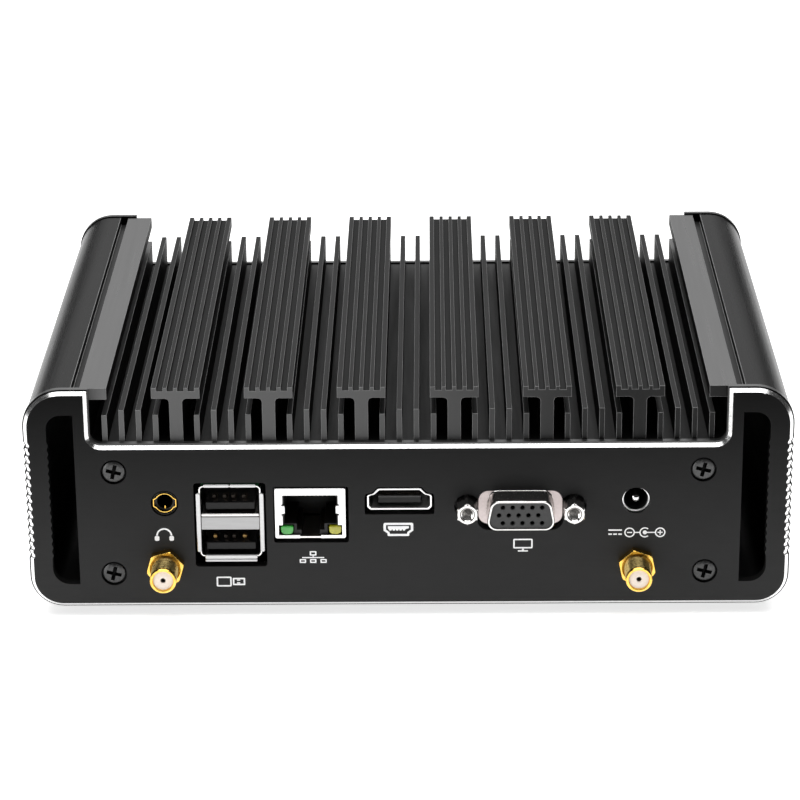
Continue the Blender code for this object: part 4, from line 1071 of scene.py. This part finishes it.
def power_button():
    button = turned("power_cap", BUTTON, [
        (0.0, -0.95), (3.4, -0.97), (3.9, -1.05), (4.1, -1.2), (4.35, -1.2), (4.6, -1.1), (4.7, -0.85),
        (4.7, 2.9), (5.65, 2.92), (5.65, 4.1), (1.5, 4.1), (1.5, 9.0), (0.0, 9.0),
    ], DARK_STEEL, facing=-1, sides=72)
    belongs(button, "power_button", body="button")
    for mark in power_symbol("power_mark", BUTTON, 1.75, (-1.02, -0.9), BLACK_PLASTIC, -1):
        belongs(mark, body="button", slot="black_plastic")
    bezel = turned("power_bezel", BUTTON, [
        (5.0, 2.4), (5.0, -0.55), (5.2, -0.8), (6.35, -0.8), (6.65, -0.65), (6.8, -0.4), (6.8, -0.02),
        (5.75, -0.02), (5.75, 2.4),
    ], ANODISED, facing=-1, sides=72, loop=True)
    belongs(bezel, "button_bezel")
    for word, centre in LIGHT_PIPES.items():
        lens = turned(f"{word}_lens", centre, [
            (0.0, -0.3), (0.7, -0.26), (1.15, -0.12), (1.4, 0.1), (1.5, 0.4), (1.5, 2.8), (2.2, 2.8),
            (2.2, 6.5), (0.0, 6.5),
        ], LENS, facing=-1, sides=40)
        belongs(lens, f"{word}_light_pipe")
    refined("switch_body", "power_switch_body", BLACK_PLASTIC, 0.15)


# Printed marks, which stand for the labels


def printed(mark):
    belongs(mark, slot="panel_black")


def ink(name, outline, facing=1):
    """One printed shape, a hair above the panel."""
    printed(prism(f"mark_{name}", outline, PRINT, INK, facing))


def ink_frame(name, x0, x1, low, high, radius, line, facing=1):
    inner = rectangle(x0 + line, x1 - line, low + line, high - line, max(radius - line, 0.05), 5)
    printed(hollow(f"mark_{name}", rectangle(x0, x1, low, high, radius, 5), inner, PRINT, INK, facing))


def band(x, height, radius, line, start, end, steps=20):
    """The outline of a curved stroke."""
    return arc(x, height, radius, start, end, steps) + arc(x, height, radius - line, end, start, steps)


def audio_mark():
    """Headphones."""
    x, z = AUDIO_MARK
    ink("audio_band", band(x, z, 1.9, 0.4, 0, 180))
    for side, word in SIDES:
        cup = x + side * 1.72
        ink(f"audio_{word}", rectangle(cup - 0.55, cup + 0.55, z - 1.35, z - 0.1, 0.35, 5))


def usb_mark(name, x, z, facing=1):
    """A plug seen from above."""
    ink_frame(f"{name}_body", x - 3.4, x + 0.2, z - 1.3, z + 1.3, 0.35, 0.38, facing)
    ink_frame(f"{name}_plug", x + 0.45, x + 3.4, z - 0.95, z + 0.95, 0.15, 0.38, facing)


def usb_contacts_mark():
    x, z = USB_MARK
    for word, middle in (("low", z - 0.36), ("high", z + 0.36)):
        ink(f"usb_{word}", rectangle(x + 1.45, x + 2.2, middle - 0.15, middle + 0.15))


def lan_mark():
    """Three boxes on a line below a fourth one."""
    x, z = LAN_MARK
    ink_frame("lan_top", x - 0.8, x + 0.8, z + 0.35, z + 1.5, 0.15, 0.32)
    ink("lan_stem", rectangle(x - 0.15, x + 0.15, z + 0.02, z + 0.3))
    ink("lan_bus", rectangle(x - 2.6, x + 2.6, z - 0.3, z - 0.02))
    for side, word in ((-1, "left"), (0, "middle"), (1, "right")):
        at = x + side * 2.45
        ink_frame(f"lan_{word}", at - 0.75, at + 0.75, z - 1.55, z - 0.55, 0.15, 0.3)


def display_mark():
    """The outline of a display plug, with a comb inside."""
    outer = rounded([(-5.0, 18.2, 0.3), (0.15, 18.2, 0.3), (0.15, 18.9, 0.1), (1.1, 19.6, 0.2),
                     (1.1, 21.6, 0.4), (-5.93, 21.6, 0.4), (-5.93, 19.6, 0.2), (-5.0, 18.9, 0.1)], 4)
    inner = rounded([(-4.5, 18.75, 0.2), (-0.35, 18.75, 0.2), (-0.35, 19.2, 0.1), (0.5, 19.85, 0.1),
                     (0.5, 21.05, 0.2), (-5.33, 21.05, 0.2), (-5.33, 19.85, 0.1), (-4.5, 19.2, 0.1)], 4)
    printed(hollow("mark_display", outer, inner, PRINT, INK))
    teeth = [(-4.9, 20.75), (-4.9, 20.2)]
    for index in range(5):
        tooth = -4.5 + index * 0.8
        teeth += [(tooth, 19.6), (tooth + 0.4, 19.6), (tooth + 0.6, 20.0)]
    teeth += [(0.05, 20.2), (0.05, 20.75)]
    ink("display_comb", teeth)


def screen_mark():
    x, z = SCREEN_MARK
    ink_frame("screen", x - 2.3, x + 2.3, z - 0.75, z + 1.75, 0.3, 0.36)
    ink("screen_stem", rectangle(x - 0.25, x + 0.25, z - 1.2, z - 0.8))
    ink("screen_foot", rectangle(x - 1.2, x + 1.2, z - 1.55, z - 1.22, 0.1, 3))


def power_mark():
    """The sign for direct current, and a centre-positive plug."""
    x, z = POWER_MARK
    ink("dc_line", rectangle(x - 6.6, x - 3.4, z + 0.45, z + 0.8))
    for index in range(3):
        left = x - 6.6 + index * 1.17
        ink(f"dc_dash_{index}", rectangle(left, left + 0.86, z - 0.6, z - 0.25))
    plug = x + 2.0
    arm, thin = 0.6, 0.14
    half = [(-arm, -thin), (-thin, -thin), (-thin, -arm), (thin, -arm), (thin, -thin), (arm, -thin)]
    for side, word, reach in ((-1, "minus", 1.3), (1, "plus", 0.5)):
        at = plug + side * 3.6
        printed(hollow(f"mark_dc_{word}_ring", circle(at, z, 1.25), circle(at, z, 0.95), PRINT, INK))
        sign = twice(half, at, z) if side > 0 else rectangle(at - arm, at + arm, z - thin, z + thin)
        ink(f"dc_{word}_sign", sign)
        ends = sorted((at - side * 1.25, plug + side * reach))
        ink(f"dc_{word}_wire", rectangle(*ends, z - thin, z + thin))
    ink("dc_cup", band(plug, z, 1.3, 0.3, 50, 310))
    ink("dc_dot", circle(plug, z, 0.5))


def far_marks():
    """Below the light pipes a power sign and a stack of disks, and a plug below the far connector."""
    x, z = LIGHT_PIPES["power"][0], PIPE_MARK_HEIGHT
    for mark in power_symbol("mark_power", (x, z), 1.3, PRINT, INK, -1):
        printed(mark)
    x = LIGHT_PIPES["disk"][0]
    for level in range(3):
        low = z - 1.35 + level * 0.95
        ink(f"disk_{level}", rectangle(x - 1.2, x + 1.2, low, low + 0.65, 0.25, 4), -1)
    usb_mark("far_usb", *FAR_USB_MARK, -1)


# Pieces that keep their CAD shape


def inner_looks():
    looks = {
        "main_board": BOARD,
        "memory_module": BOARD,
        "wifi_card": BOARD,
        "processor_package": CHIP,
        "heat_spreader": COPPER,
        "memory_socket": BLACK_PLASTIC,
        "memory_latch_left": STEEL,
        "memory_latch_right": STEEL,
        "solid_state_drive": ALUMINIUM,
        "antenna_lead_left": BLACK_PLASTIC,
        "antenna_lead_right": BLACK_PLASTIC,
    }
    for node, look in looks.items():
        mesh = frame["nodes"][node].data
        mesh.materials.clear()
        mesh.materials.append(look)


# Stage


def soft_light(name, place, towards, size, power):
    data = bpy.data.lights.new(name, "AREA")
    data.shape = "RECTANGLE"
    data.size, data.size_y = size
    data.energy = power
    light = placed(name, data)
    light.location = place
    light.rotation_euler = (Vector(towards) - Vector(place)).to_track_quat("-Z", "Y").to_euler()


def studio():
    """A white floor and a sky that is bright only behind the object, above the horizon."""
    scene = bpy.context.scene
    scene.view_settings.view_transform = "Standard"
    bpy.ops.mesh.primitive_plane_add(size=8.0, location=(0.0, 1.0, 0.0))
    floor = bpy.context.object
    floor.name = "floor"
    floor.data.materials.append(surface("floor_white", (0.86, 0.88), (0.8, 0.9), 0.0, 1.3, 3.0,
                                        Emission_Color=(1.0, 1.0, 1.0, 1.0), Emission_Strength=0.72))
    world = bpy.data.worlds.new("studio")
    scene.world = world
    world.use_nodes = True
    nodes, links = world.node_tree.nodes, world.node_tree.links
    both = new_node(nodes, "Math")
    both.operation = "MULTIPLY"
    for number, (axis, dark, light) in enumerate((("Y", 0.2, 0.75), ("Z", 0.20, 0.34))):
        place = coordinate(nodes, links, "Generated", axis)
        links.new(map_range(nodes, links, place, dark, light, 0.0, 1.0), both.inputs[number])
    shade = ramp(nodes, links, both.outputs["Value"], [(0.0, grey(0.02)), (1.0, grey(1.0))])
    links.new(shade, nodes["Background"].inputs["Color"])
    nodes["Background"].inputs["Strength"].default_value = 1.6
    soft_light("overhead", (0.0, 0.1, 1.3), (0.0, 0.0, 0.0), (1.6, 1.6), 22.0)
    soft_light("left", (-1.1, -0.9, 0.25), (0.0, 0.0, 0.03), (0.5, 0.5), 5.0)


def camera():
    """At the height and distance from which the connector side is seen, almost square to it."""
    data = bpy.data.cameras.new("camera")
    data.lens = LENS_LENGTH
    data.sensor_width = 36.0
    data.clip_start = 0.01
    obj = placed("camera", data)
    yaw, pitch, roll = (math.radians(angle) for angle in CAMERA_TURN)
    forward = Vector((math.sin(yaw) * math.cos(pitch), math.cos(yaw) * math.cos(pitch), -math.sin(pitch)))
    side = Vector((math.cos(yaw), -math.sin(yaw), 0.0))
    down = forward.cross(side)
    right = side * math.cos(roll) + down * math.sin(roll)
    up = side * math.sin(roll) - down * math.cos(roll)
    obj.location = spot(*CAMERA_PLACE)
    obj.rotation_euler = Matrix((right, up, -forward)).transposed().to_euler()
    bpy.context.scene.camera = obj


camera()
io_plate()
far_plate()
side_shells()
sink()
refined("cover_plate", "bottom_cover", PANEL_PAINTED_SHEEN, 0.15)
screws()
feet()
audio()
usb("usb", USB_X, 1, TONGUE_PLASTIC)
lan()
hdmi()
vga()
power_jack()
for antenna_side in ANTENNAS:
    antenna(antenna_side)
usb("far_usb", FAR_USB_X, -1, BLUE_PLASTIC)
power_button()
audio_mark()
usb_mark("usb", *USB_MARK)
usb_contacts_mark()
lan_mark()
display_mark()
screen_mark()
power_mark()
far_marks()
inner_looks()
studio()
